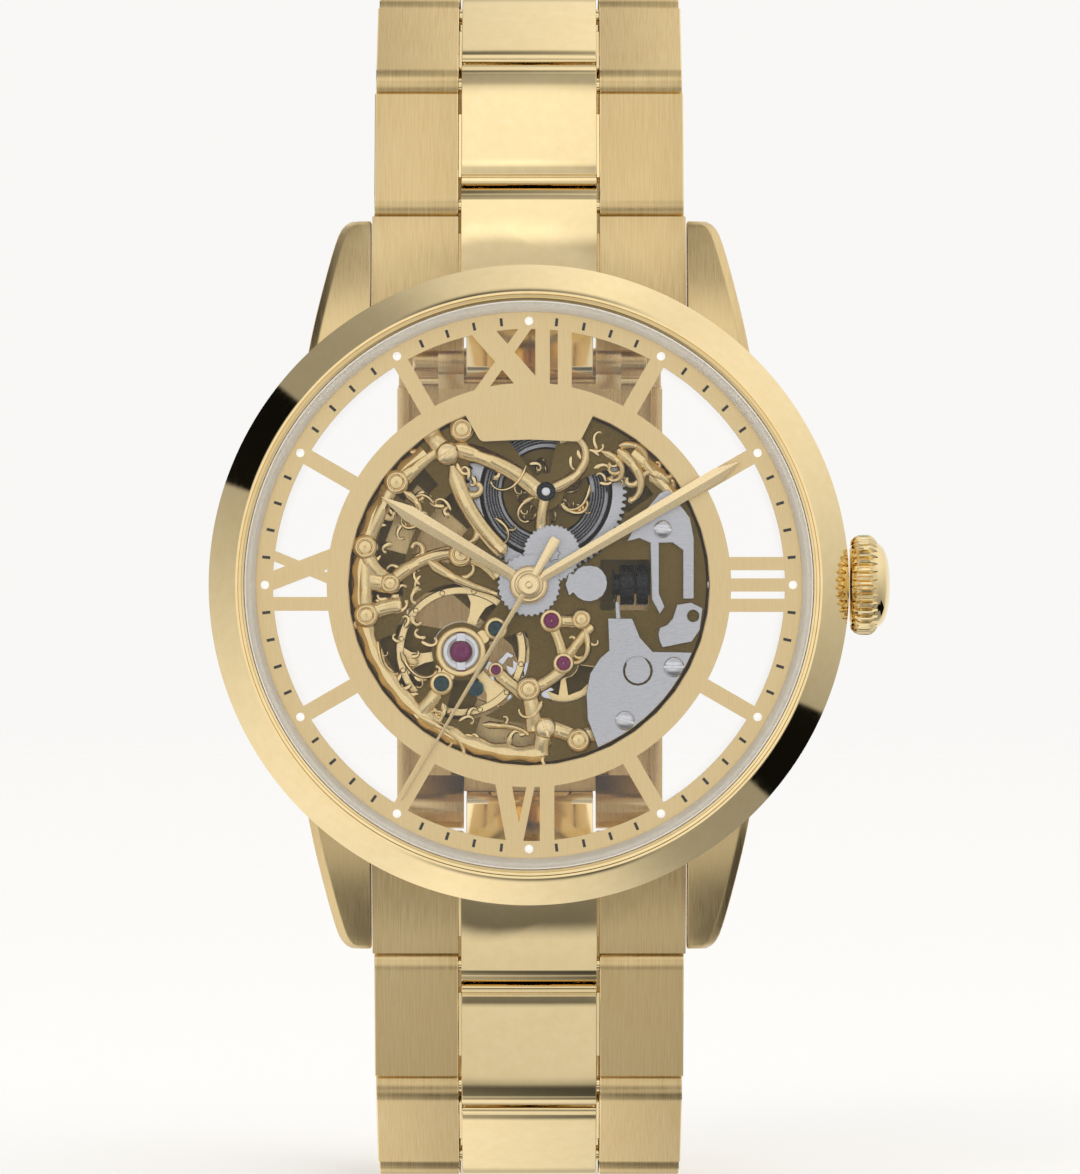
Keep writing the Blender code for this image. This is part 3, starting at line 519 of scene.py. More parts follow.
def grown(tree, **values):  # runs a tree and gives back its plain mesh
    made = temporary(bpy.data.meshes.new("grown"))
    grower = made.modifiers.new("grower", "NODES")
    grower.node_group = tree
    sockets = {item.name: item.identifier for item in tree.interface.items_tree if item.in_out == "INPUT"}
    for label, value in values.items():
        grower[sockets[label]] = value
    mesh = evaluated(made)
    mesh.materials.clear()  # finishPiece gives the piece its looks
    return mesh


def ringMesh(shape, look, count, phase=0.0, axis=(0, 1, 0), centre=(0, 0, 0)):
    source = temporary(shape)
    mesh = grown(ringTree, Shape=source, Count=count, Phase=math.radians(phase), Axis=axis,
                 Centre=[value * mm for value in centre], Material=look)
    bpy.data.objects.remove(source)
    return mesh


def spotsMesh(shape, look, spots, seed=1):  # spots are (x, y, z, scale)
    source, held = temporary(shape), bpy.data.meshes.new("spots")
    held.from_pydata([[value * mm for value in spot[:3]] for spot in spots], [], [])
    size = held.attributes.new("size", "FLOAT", "POINT")
    size.data.foreach_set("value", [float(spot[3]) for spot in spots])
    carrier = temporary(held)
    mesh = grown(spotTree, Spots=carrier, Shape=source, Seed=seed, Turn=2 * math.pi, Material=look)
    for made in (source, carrier):
        bpy.data.objects.remove(made)
    return mesh


def coilMesh(look, turns, start, end, thickness, height, centre, steps):
    return grown(coilTree, Turns=turns, Start=start * mm, End=end * mm, Steps=steps, Thickness=thickness * mm,
                 Height=height * mm, Centre=[value * mm for value in centre], Material=look)


# Where the frame's pieces are, in millimetres, and what stands for them

def pieceName(node):  # such as ClaspCover for clasp_cover
    return node.replace("_", " ").title().replace(" ", "")


def low(node):
    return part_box(node)[0] / mm


def high(node):
    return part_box(node)[1] / mm


def jointAt(name):
    return Vector(joints[name]["pos_m"]) / mm


def flatAt(name):
    place = jointAt(name)
    return (place.x, place.z)


barrelAt, balanceAt, palletAt = flatAt("barrel_turn"), flatAt("balance_swing"), flatAt("pallet_fork_rock")
thirdAt, fourthAt = flatAt("third_wheel_turn"), flatAt("fourth_wheel_turn")
stemAt = (jointAt("crown_turn").y, jointAt("crown_turn").z)

print("case")
bezelSizes = {"inner": 19.5, "lipRadius": 19.95, "grooveRadius": 19.72, "grooveDepth": 0.12, "slopeTop": 20.25,
              "slopeFoot": 2.35, "bulge": 0.07, "count": 288}


def makeBezel():
    outer, front, back = high("bezel").x, low("bezel").y, high("bezel").y
    inner, lip, crest = bezelSizes["inner"], bezelSizes["lipRadius"], bezelSizes["slopeTop"]
    groove, foot = bezelSizes["grooveRadius"], front + bezelSizes["slopeFoot"]
    slope = [(outer, foot)]
    for i in range(1, 8):  # the broad slope swells a little between its edges
        t = i / 8
        swell = bezelSizes["bulge"] * math.sin(math.pi * t)
        slope.append((outer + (crest - outer) * t + swell * 0.79, foot - 2.2 * t - swell * 0.62))
    slope += [(crest, front + 0.13), (crest - 0.15, front), (lip, front)]
    step = [(lip - 0.06, front + bezelSizes["grooveDepth"]), (groove, front + 0.14),
            (groove - 0.05, front + 0.04), (inner + 0.04, front + 0.06), (inner, front + 0.12)]
    profile = [(outer - 0.1, back), (outer, back - 0.12), *slope, *step, (inner, back)]
    finishPiece("bezelRing", turnedMesh(profile, count=bezelSizes["count"], closed=True), "case", polishedGold,
                ["bezel"], 25)


def makeCrystal():
    wide, front, back = high("crystal").x, low("crystal").y, high("crystal").y
    flat = 18.75
    profile = [(0, front), (flat - 0.25, front), (flat, front + 0.04), (wide - 0.05, front + 0.5),
               (wide, front + 0.58), (wide, back), (0, back)]
    finishPiece("sapphireCrystal", turnedMesh(profile, count=192), "case", crystalClear,
                ["crystal"])
    seat = [(wide + 0.02, front + 0.5), (19.47, front + 0.42), (19.47, back + 0.05),
            (wide + 0.02, back + 0.05)]
    finishPiece("crystalGasket", turnedMesh(seat, count=192, closed=True), "case", gasketNylon)
    ring = [(19.38, -10.5), (19.38, -8.87), (18.78, -8.87), (18.84, -9.3), (19.02, -10.35), (19.12, -10.5)]
    finishPiece("rehautRing", turnedMesh(ring, count=192, closed=True), "case", gasketNylon,
                ["flange_ring"])


# stations are the lug's z, half width, top and underside
lugSizes = {"inner": 10.95, "chamfer": 0.55, "edge": 0.22,
            "stations": ((12, 15.75, -8.3, -1.65), (16, 15.2, -7.9, -1.65), (20, 14.35, -6.6, -1.35),
                         (24.2, 13.2, -4.5, -0.7), (25.2, 12.3, -3.75, -0.85))}


def makeCase():
    body = filleted([(20.9, -8.4), (21.4, -7.75), (21.4, -2.25), (20.7, -1.5), (19.0, -1.5), (19.0, -8.4)],
                    0.3)
    ring = turnedMesh(body, count=240, closed=True)
    inner, cut = lugSizes["inner"], lugSizes["chamfer"]
    lugs = []
    for side, end in ((1, 1), (1, -1), (-1, 1), (-1, -1)):
        built = bmesh.new()
        rows = []
        for z, wide, top, under in smoothPath(lugSizes["stations"], 5):
            section = [(inner, top), (wide - cut, top), (wide, top + cut), (wide, under), (inner, under)]
            rows.append([built.verts.new((side * x, y, end * z)) for x, y in section])
        joinRows(built, rows)
        bmesh.ops.recalc_face_normals(built, faces=built.faces)
        bevelEdges(built, lugSizes["edge"], 3, 28)
        lugs.append(toMesh(built))
    bore = turnedMesh([(0, -12), (19.25, -12), (19.25, 2), (0, 2)], count=240)
    body = combined(combined(ring, lugs), [bore], "DIFFERENCE")
    hole = turnedMesh([(0, 17), (1.3, 17), (1.3, 24), (0, 24)], stemAt, 32, "x")
    finishPiece("caseBody", combined(body, [hole], "DIFFERENCE"), "case", satinGold,
                ["case_body"], 28)


caseBackSizes = {"notches": 6, "notchWide": 2.2, "notchDeep": 0.55, "glassRadius": 17.8}


def makeCaseBack():
    notchedRing = [(20.55, -0.06), (20.6, -0.2), (20.6, -1.4), (19.15, -1.4), (19.15, -2.6), (17.9, -2.6),
                   (17.9, -0.1), (18.0, 0.0), (20.4, 0.0)]
    ring = turnedMesh(notchedRing, count=192, closed=True)
    notch = plateMesh(barPoints(0, 19.55, 0, 21.2, caseBackSizes["notchWide"]), -caseBackSizes["notchDeep"],
                      0.5)
    notches = ringMesh(notch, polishedGold, caseBackSizes["notches"], 30)
    finishPiece("caseBackRing", combined(ring, [notches], "DIFFERENCE", 0.05), "case", polishedGold,
                ["caseback_ring"])
    wide = caseBackSizes["glassRadius"]
    glass = [(0, 0), (wide - 0.2, 0), (wide, -0.15), (wide, -1.2), (0, -1.2)]
    finishPiece("caseBackCrystal", turnedMesh(glass, count=160), "case", crystalClear,
                ["caseback_glass"])


# ridges are each flute's distance along the stem, half width, and reach from the stem's axis
crownSizes = {"flutes": 34, "core": 3.08,
              "ridges": ((22.2, 0.02, 3.06), (22.42, 0.13, 3.28), (22.7, 0.17, 3.42), (23.0, 0.18, 3.45),
                         (23.35, 0.18, 3.45), (23.6, 0.15, 3.4), (23.82, 0.1, 3.22), (23.98, 0.02, 3.0))}


def makeCrown():
    start, end = low("crown").x, high("crown").x
    core = [(0, start), (2.55, start), (2.7, start + 0.12), (2.95, start + 0.3),
            (crownSizes["core"], start + 0.5), (crownSizes["core"], 23.75), (2.98, 23.95), (2.9, 24.05),
            (2.86, 24.12), (2.8, 24.2), (2.6, 24.42), (2.1, 24.66), (1.4, 24.82), (0.7, end - 0.02), (0, end)]
    cap = turnedMesh(core, stemAt, 128, "x")
    built = bmesh.new()
    rows = []
    for x, wide, out in crownSizes["ridges"]:
        rows.append([built.verts.new((x, a, b)) for a, b in
                     ((2.9, -wide * 1.35), (out - 0.12, -wide), (out, -wide * 0.45), (out, wide * 0.45),
                      (out - 0.12, wide), (2.9, wide * 1.35))])
    joinRows(built, rows)
    flutes = ringMesh(toMesh(built), polishedGold, crownSizes["flutes"], 3, (1, 0, 0),
                      (0, stemAt[0], stemAt[1]))
    finishPiece("crownKnob", joinedMesh([cap, flutes]), "crown", polishedGold, ["crown"], 40)
    tube = [(1.0, 19.3), (1.2, 19.45), (1.2, 21.7), (1.12, 21.8), (0.6, 21.8), (0.55, 21.7), (0.55, 19.4),
            (0.62, 19.3)]
    finishPiece("crownTube", turnedMesh(tube, stemAt, 64, "x", True), "case", steelSatin,
                ["crown_tube"])


makeBezel()
makeCrystal()
makeCase()
makeCaseBack()
makeCrown()

print("dial")
dialBars = (
    *[(*polar(13.3, clock), *polar(18.1, clock), 1.09) for clock in (30, 60, 120, 150, 210, 240, 300, 330)],
    (-3.55, 17.85, 0.55, 13.15, 1.45), (0.0, 18.0, -3.5, 13.1, 0.72), (0.94, 13.2, 0.94, 18.0, 1.0),
    (2.46, 13.2, 2.46, 17.9, 0.96),
    (13.2, 1.47, 18.0, 1.47, 0.91), (13.2, 0.0, 18.0, 0.0, 0.91), (13.2, -1.4, 18.0, -1.4, 0.91),
    (-1.85, -13.15, -0.95, -18.0, 1.1), (0.25, -13.15, -0.75, -18.0, 0.55), (1.25, -13.2, 1.25, -18.0, 1.0),
    (-13.2, -1.3, -18.0, -1.3, 0.95), (-13.2, 2.0, -18.0, 0.15, 1.25), (-13.2, 0.2, -18.0, 2.2, 0.7),
)
dialSizes = {"tickAt": 18.15, "tickLong": 0.55, "tickWide": 0.2, "dot": 0.29, "print": 0.02,
             "tab": ((-4.9, 12.6), (-3.33, 9.85), (0, 10), (3.51, 9.85), (4.9, 12.6))}


def makeDial():
    front, back = low("dial").y, high("dial").y
    chapter = turnedMesh([(19.08, front), (19.08, back), (17.6, back), (17.6, front)], count=240, closed=True)
    inner = turnedMesh([(13.9, front), (13.9, back), (12.45, back), (12.45, front)], count=240, closed=True)
    bars = [plateMesh(barPoints(*bar), front, back) for bar in dialBars]
    tab = plateMesh(filleted(dialSizes["tab"], 0.35), front, back)
    finishPiece("openDial", combined(chapter, [inner, *bars, tab], bevel=0.05), "case", dialGold,
                ["dial"], 25)
    top = front + 0.01
    middle, reach = dialSizes["tickAt"], dialSizes["tickLong"] / 2
    tick = plateMesh(barPoints(0, middle - reach, 0, middle + reach, dialSizes["tickWide"]),
                     top - dialSizes["print"] - 0.01, top)
    rings = [ringMesh(tick.copy(), printBlack, 12, phase) for phase in (6, 12, 18, 24)]
    finishPiece("minuteTicks", joinedMesh(rings), "case", printBlack)
    dot = turnedMesh([(0, top - 0.06), (0.2, top - 0.055), (dialSizes["dot"], top - 0.02),
                      (dialSizes["dot"], top), (0, top)], (0, middle), 24)
    # the dots carry the lume's painted glow
    finishPiece("hourDots", ringMesh(dot, lumeWithPaintedGlow, 12), "case", lumeWithPaintedGlow)
    finishPiece("movementHolder", nodeMesh("movement_holder", 0.08), "case", dialGold,
                ["movement_holder"])


handSizes = {
    "hour": {"clock": 300.8, "body": "hours", "node": "hour_hand", "front": -9.38, "edge": -9.27, "back": -9.1,
             "stations": ((0.9, 0.34), (1.6, 0.38), (9.6, 0.56), (11.8, 0.02)), "tail": (),
             "hub": (1.3, 0.92), "top": -9.42},
    "minute": {"clock": 59.7, "body": "minutes", "node": "minute_hand", "front": -9.78, "edge": -9.68,
               "back": -9.5, "stations": ((0.7, 0.3), (1.3, 0.34), (15.0, 0.5), (16.8, 0.02)), "tail": (),
               "hub": (1.0, 0.6), "top": -9.8},
    "seconds": {"clock": 210.6, "body": "seconds", "node": "seconds_hand", "front": -9.98, "edge": -9.93,
                "back": -9.86, "stations": ((0.4, 0.17), (8.0, 0.13), (17.2, 0.05)),
                "tail": ((-0.4, 0.2), (-0.9, 0.24), (-3.5, 0.36), (-3.7, 0.3)), "hub": (0.8, 0.2),
                "top": -10.1},
}


def makeHands():
    for name, values in handSizes.items():
        built = bmesh.new()
        towards, side = Vector(polar(1, values["clock"])), Vector(polar(1, values["clock"] + 90))
        for stations in (values["stations"], values["tail"]):
            rows = []
            for along, wide in stations:
                points = ((-wide, values["back"]), (-wide, values["edge"]), (0, values["front"]),
                          (wide, values["edge"]), (wide, values["back"]))
                rows.append([])
                for across, level in points:
                    flat = towards * along + side * across
                    rows[-1].append(built.verts.new((flat.x, level, flat.y)))
            joinRows(built, rows)
        big, small = values["hub"]
        top, back = values["top"], values["back"]
        ring = turnedMesh([(small, back), (big, back), (big, top + 0.1), (big - 0.08, top + 0.02),
                           (big - 0.2, top), (small + 0.06, top), (small, top + 0.05)], closed=True)
        meshes = [toMesh(built), ring]
        if name == "seconds":
            meshes.append(turnedMesh([(0, top + 0.1), (0.25, top + 0.1), (0.25, top - 0.06),
                                      (0.18, top - 0.12), (0, top - 0.14)], count=40))
        finishPiece(name + "Hand", joinedMesh(meshes), values["body"], handGold,
                    [values["node"]], 20)
    arbor = turnedMesh([(0, -9.9), (0.11, -9.9), (0.13, -9.88), (0.13, -3.7), (0, -3.7)], count=32)
    finishPiece("secondsArbor", arbor, "seconds", steelPolished, ["seconds_arbor"])


makeDial()
makeHands()

print("bracelet")
braceletSizes = {"pitch": 9.0, "half": 1.5, "knuckle": 1.5, "hollow": 1.65, "lip": 1.1, "centre": 4.7,
                 "outerIn": 4.9, "crown": 0.12, "openGap": 2.0,
                 "headings": (19, 54, 86, 108, 127, 144, 160),
                 "widths": (21.45, 21.3, 21.1, 20.8, 20.5, 20.2, 19.9)}


def knucklePoints(start, end, radius, centre, steps):  # in the side view (y, z), angles from +z towards +y
    return [(radius * math.sin(math.radians(start + (end - start) * i / steps)),
             centre + radius * math.cos(math.radians(start + (end - start) * i / steps)))
            for i in range(steps + 1)]


def outerMesh(width, side, short):
    values = braceletSizes
    half, length, lip = values["half"], values["pitch"], values["lip"]
    turn = math.degrees(math.acos(lip / values["hollow"]))
    outline = knucklePoints(90, 270, values["knuckle"], 0, 20)
    if short:
        outline += [(-half, length - short), (half, length - short)]
    else:
        outline += [(-half, length - lip - 0.12), (-half + 0.05, length - lip - 0.03),
                    (-half + 0.13, length - lip)]
        outline += knucklePoints(180 + turn, 180 - turn, values["hollow"], length, 12)
        outline += [(half - 0.13, length - lip), (half - 0.05, length - lip - 0.03),
                    (half, length - lip - 0.12)]
    ends = sorted((side * values["outerIn"], side * width / 2))
    return plateMesh(outline, *ends, bevel=0.17, segments=3, along="x", bevelMaterial=1)


def centreMesh():
    values = braceletSizes
    half, length, lip = values["half"], values["pitch"], values["lip"]
    turn = math.degrees(math.acos(lip / values["hollow"]))
    outline = [(half, length - 0.05), (half, lip + 0.15), (half - 0.1, lip)]
    outline += knucklePoints(turn, -turn, values["hollow"], 0, 12)
    outline += [(-1.33, lip), (-1.42, lip + 0.05), (-1.46, lip + 0.16), (-1.46, lip + 0.42),
                (-1.42, lip + 0.5), (-1.3, lip + 0.54), (-1.3, lip + 0.66), (-1.42, lip + 0.72)]
    for i in range(1, 12):  # the face swells along its length
        t = i / 12
        swell = values["crown"] * math.sin(math.pi * t) ** 0.7
        outline.append((-half - swell, lip + 0.75 + (length - lip - 0.75) * t))
    outline += knucklePoints(270, 450, values["knuckle"], length, 20)
    return plateMesh(outline, -values["centre"], values["centre"], bevel=0.32, segments=4, along="x")


def painted(mesh, index):
    mesh.polygons.foreach_set("material_index", [index] * len(mesh.polygons))
    return mesh


def makeBracelet():
    values = braceletSizes
    for side, hour in ((1, "12"), (-1, "6")):
        for number, (heading, width) in enumerate(zip(values["headings"], values["widths"]), 1):
            short = values["openGap"] if hour == "6" and number == len(values["headings"]) else 0.0
            bar = plateMesh([(-0.2, 2.1), (1.0, 2.1), (1.0, values["pitch"] - 2.2),
                             (-0.2, values["pitch"] - 2.2)], -5.5, 5.5, along="x")
            rod = turnedMesh([(0, -width / 2 + 0.5), (0.55, -width / 2 + 0.55), (0.55, width / 2 - 0.55),
                              (0, width / 2 - 0.5)], (0, 0), 24, "x")
            mesh = joinedMesh([outerMesh(width, 1, short), outerMesh(width, -1, short),
                               painted(centreMesh(), 1), painted(bar, 1), painted(rod, 1)])
            pin = jointAt(f"link_{hour}_{number}_turn") * mm
            turn = Euler((-math.radians(heading), 0 if side == 1 else math.pi, 0)).to_matrix().to_4x4()
            mesh.transform(Matrix.Translation(pin) @ turn)
            finishPiece(f"link{hour}at{number}", mesh, f"link_{hour}_{number}", [brushedGold, polishedGold],
                        [f"link_{hour}_{number}"], 25)
        mesh = nodeMesh(f"end_link_{hour}", 0.16, 3, 1)
        for face in mesh.polygons:
            if abs(face.center.x) < 4.8 * mm:
                face.material_index = 1
        finishPiece(f"endLink{hour}", mesh, "case", [brushedGold, polishedGold],
                    [f"end_link_{hour}"], 25)


def makeClasp():
    pin = jointAt("clasp_pin_turn")
    tube = turnedMesh(filleted([(0.3, -8.7), (0.85, -8.7), (0.85, 8.7), (0.3, 8.7)], 0.3), (pin.y, pin.z), 40,
                      "x", True)
    finishPiece("claspPinTube", tube, "link_12_7", satinGold)
    rod = turnedMesh([(0, -8.6), (0.3, -8.6), (0.35, -8.5), (0.35, 8.5), (0.3, 8.6), (0, 8.6)],
                     (pin.y + 0.5, pin.z - 1.6), 24, "x")
    finishPiece("claspRod", rod, "clasp_inner_blade", satinGold)
    lip = plateMesh([(43.97, 14.5), (44.93, 14.5), (44.93, 17.4), (44.6, 17.7), (43.97, 17.7)], -9.8, 9.8,
                    bevel=0.15, segments=3, along="x")
    finishPiece("claspCoverLip", lip, "clasp_cover", satinGold)
    for name, look in (("clasp_inner_blade", satinGold), ("clasp_middle_blade", satinGold),
                       ("clasp_cover", satinGold), ("clasp_button_left", polishedGold),
                       ("clasp_button_right", polishedGold)):
        finishPiece(pieceName(name), nodeMesh(name, 0.12, 3, 1), name, [look, polishedGold],
                    [name], 28)


makeBracelet()
makeClasp()

print("movement")


def slottedHead():  # a screw's head of radius 1, standing up towards -y from y = 0
    head = turnedMesh([(0, 0.3), (1, 0.3), (1, -0.12), (0.88, -0.24), (0, -0.26)], count=32)
    slot = plateMesh(barPoints(-1.2, 0, 1.2, 0, 0.3), -0.4, 0.0)
    return combined(head, [slot], "DIFFERENCE", 0.02, 1)


def bossShape():  # a raised seat of radius 1 with a pin in a groove
    profile = [(1.45, 0.7), (1.42, 0.1), (1.3, -0.12), (1.05, -0.26), (0.92, -0.26), (0.86, -0.16),
               (0.84, 0.05), (0.76, 0.05), (0.74, -0.12), (0.66, -0.2), (0.16, -0.23), (0.12, -0.12),
               (0, -0.1)]
    return turnedMesh([(0, 0.6), *profile], count=40)


def settingShape():  # the gold ring pressed round a jewel of radius 1
    return turnedMesh([(1.0, 0.9), (1.75, 0.9), (1.72, -0.18), (1.55, -0.36), (1.2, -0.4), (1.08, -0.24),
                       (1.0, 0.0)], count=40, closed=True)


def stoneShape():  # a jewel of radius 1 with its oil cup and hole
    return turnedMesh([(0, 0.9), (1.05, 0.9), (1.02, -0.05), (0.8, -0.16), (0.62, -0.16), (0.35, 0.02),
                       (0.14, 0.06), (0.12, 0.3), (0, 0.3)], count=40)


plateWindows = (  # centre, inner and outer radius, and the clock angles a window spans
    (barrelAt, 1.25, 5.62, 324, 372), (barrelAt, 1.25, 5.62, 70, 172), (barrelAt, 1.25, 5.62, 196, 304),
    (balanceAt, 2.0, 4.72, 72, 194), (balanceAt, 2.0, 4.72, 228, 398), (fourthAt, 1.0, 2.75, 95, 232),
    ((0, 0), 8.7, 10.9, 264, 300), ((0, 0), 5.7, 8.3, 285, 320), ((0, 0), 9.5, 11.2, 172, 200),
    ((0, 0), 9.4, 11.0, 231, 250), ((0, 0), 9.3, 11.0, 304, 318), ((0, 0), 8.4, 10.6, 36, 54),
)


def makeMainplate():
    front, back = low("mainplate").y, high("mainplate").y
    disc = turnedMesh([(0, front), (12.2, front), (12.3, front + 0.1), (12.3, back), (0, back)], count=192)
    windows = [plateMesh(filleted(sectorPoints(inner, outer, start, end, centre, 20), 0.25, 2), front - 0.5,
                         back + 0.5) for centre, inner, outer, start, end in plateWindows]
    windows.append(plateMesh(filleted([(4.9, -1.75), (8.35, -1.75), (8.35, 1.75), (4.9, 1.75)], 0.2),
                             front - 0.5, back + 0.5))
    windows.append(turnedMesh([(0, front - 1), (0.6, front - 1), (0.6, back + 1), (0, back + 1)]))
    windows.append(plateMesh([(8.2, -0.55), (14, -0.55), (14, 0.55), (8.2, 0.55)], -7.15, -6.0))
    mesh = combined(disc, windows, "DIFFERENCE", 0.09, 2)
    flange = turnedMesh([(11.9, back), (13.0, back), (13.0, back + 0.4), (11.9, back + 0.4)], count=192,
                        closed=True)
    # the flange, the plate and the bridges' faces carry the gilt's painted shade
    finishPiece("casingFlange", flange, "case", giltWithPaintedShade)
    finishPiece("mainplate", mesh, "case", giltWithPaintedShade, ["mainplate"], 28)
    for node, name in (("train_bridge", "trainBridge"), ("balance_cock", "balanceCock")):
        finishPiece(name, nodeMesh(node, 0.1, 2, 1), "case", [giltWithPaintedShade, giltBright], [node],
                    28)
    for node, name in (("minute_wheel_cock", "minuteWheelCock"), ("train_cover_plate", "windingCoverPlate"),
                       ("setting_lever_jumper", "settingLeverJumper")):
        finishPiece(name, nodeMesh(node, 0.05, 2, 1), "case", [steelSatin, steelPolished], [node], 28)


def makeWheels():
    plain = {"hour_wheel": ("hours", steelSatin), "cannon_pinion": ("minutes", steelPolished),
             "center_wheel": ("minutes", giltBright), "minute_wheel": ("minute_wheel", steelSatin),
             "third_wheel": ("third_wheel", giltBright), "fourth_wheel": ("fourth_wheel", giltBright),
             "escape_wheel": ("escape_wheel", steelPolished), "pallet_fork": ("pallet_fork", steelPolished),
             "barrel_arbor": ("barrel_arbor", steelPolished), "winding_pinion": ("winding_pinion", blackSteel),
             "clutch": ("clutch", blackSteel), "stem": ("stem", steelPolished),
             "setting_lever": ("setting_lever", steelSatin), "yoke": ("yoke", steelSatin)}
    for node, (body, look) in plain.items():
        finishPiece(pieceName(node), nodeMesh(node, 0.025, 1), body, look, [node], 28)
    front, back = low("barrel").y, high("barrel").y
    ring = plateMesh(gearPoints(5.3, 5.57, 72, 0, barrelAt), front, front + 0.35,
                     [circlePoints(4.35, 96, barrelAt)[::-1]])
    drum = turnedMesh([(4.9, front + 0.2), (4.9, back), (4.6, back), (4.6, front), (4.35, front),
                       (4.3, front + 0.05), (4.3, front + 0.2)], barrelAt, 96, closed=True)
    floor = turnedMesh([(0.75, back - 0.2), (4.7, back - 0.2), (4.7, back), (0.75, back)], barrelAt, 96,
                       closed=True)
    finishPiece("barrelDrum", joinedMesh([ring, drum, floor]), "barrel", steelSatin, ["barrel"], 28)
    spring = coilMesh(blackSteel, 5, 3.25, 4.2, 0.11, 1.1, (barrelAt[0], -5.25, barrelAt[1]), 80)
    finishPiece("mainspring", spring, "barrel", blackSteel, ["mainspring"], 40)
    chance = random.Random(11)
    cover = turnedMesh([(0.7, -5.75), (2.95, -5.75), (3.1, -5.6), (3.1, -4.75), (0.7, -4.75)], barrelAt, 96,
                       closed=True)
    # the cover carries the gilt's painted shade
    finishPiece("barrelCover", cover, "barrel", giltWithPaintedShade)
    curls = []
    for i in range(16):
        x, z = polar(chance.uniform(1.0, 1.6), i * 22.5, barrelAt)
        sign = 1 if i % 2 else -1
        curls.append(scrollPath(x, z, i * 22.5, chance.uniform(1.2, 1.9), sign * 30, sign * 190, 0.17, -5.75,
                                0.16, 14))
    finishPiece("barrelScrolls", tubeMesh(curls, 8), "barrel", giltBright, angle=50)
    hub = turnedMesh([(0, -7.5), (0.66, -7.5), (0.66, -8.1), (0.58, -8.18), (0.4, -8.18), (0.36, -8.08),
                      (0.36, -8.0), (0, -8.0)], barrelAt, 40)
    finishPiece("barrelHub", hub, "case", blackSteel)
    stud = turnedMesh([(0, -8.0), (0.33, -8.0), (0.33, -8.14), (0.26, -8.2), (0, -8.22)], barrelAt, 32)
    finishPiece("barrelStud", stud, "case", steelPolished)


balanceSizes = {"rimOut": 4.5, "rimIn": 3.95, "arms": 3, "weights": 12,
                "armWidths": ((0.2, 0.3), (1.0, 0.3), (2.6, 0.34), (3.4, 0.55), (3.8, 0.9), (4.1, 1.5))}


def makeBalance():
    back = high("balance_wheel").y
    rim = turnedMesh(filleted([(balanceSizes["rimIn"], -6.05), (balanceSizes["rimOut"], -6.05),
                               (balanceSizes["rimOut"], -5.65), (balanceSizes["rimIn"], -5.65)], 0.08, 3),
                     balanceAt, 128, closed=True)
    arms = []
    for i in range(balanceSizes["arms"]):
        clock = 20 + 120 * i
        across = [(polar(radius, clock, balanceAt), polar(wide, clock + 90))
                  for radius, wide in balanceSizes["armWidths"]]
        outline = [(p[0] + w[0], p[1] + w[1]) for p, w in across] + \
                  [(p[0] - w[0], p[1] - w[1]) for p, w in reversed(across)]
        arms.append(plateMesh(outline, -6.0, -5.72))
    weight = turnedMesh([(0, -5.6), (0.2, -5.6), (0.2, -6.12), (0.14, -6.16), (0, -6.16)], (0, 4.22), 16)
    weights = ringMesh(weight, giltBright, balanceSizes["weights"], 12, centre=(balanceAt[0], 0, balanceAt[1]))
    wheel = combined(rim, arms, bevel=0.03, segments=1)
    staff = turnedMesh([(0, low("balance_wheel").y), (0.1, low("balance_wheel").y), (0.12, -6.2),
                        (0.75, -6.15), (0.75, -5.55), (0.3, -5.5), (0.3, -5.05), (0.12, -5.0), (0.1, back),
                        (0, back)], balanceAt, 32)
    finishPiece("balanceWheel", joinedMesh([wheel, weights, staff]), "balance", giltBright,
                ["balance_wheel"], 28)
    spring = coilMesh(steelPolished, 9, 0.5, 2.1, 0.035, 0.2, (balanceAt[0], -4.88, balanceAt[1]), 50)
    finishPiece("hairspring", spring, "case", steelPolished, ["hairspring"], 40)
    # The shock setting in front of the balance's pivot: a gold boss with ears, a steel lyre and a ruby.
    boss = turnedMesh([(1.3, -7.55), (1.75, -7.55), (1.75, -7.95), (1.62, -8.08), (1.4, -8.08), (1.3, -7.95)],
                      balanceAt, 64, closed=True)
    ears = [plateMesh(filleted(barPoints(*polar(1.4, clock, balanceAt), *polar(2.15, clock, balanceAt), 0.9),
                               0.3), -7.98, -7.56) for clock in (56, 211)]
    finishPiece("shockBoss", combined(boss, ears, bevel=0.05), "case", giltBright)
    lyre = turnedMesh([(0.74, -7.6), (1.28, -7.6), (1.28, -7.92), (1.18, -7.99), (0.95, -7.99), (0.74, -7.84)],
                      balanceAt, 64, closed=True)
    gap = plateMesh(barPoints(*polar(2, 0, balanceAt), *polar(2, 180, balanceAt), 0.62), -8.2, -7.75)
    finishPiece("shockLyre", combined(lyre, [gap], "DIFFERENCE", 0.03), "case", steelPolished)


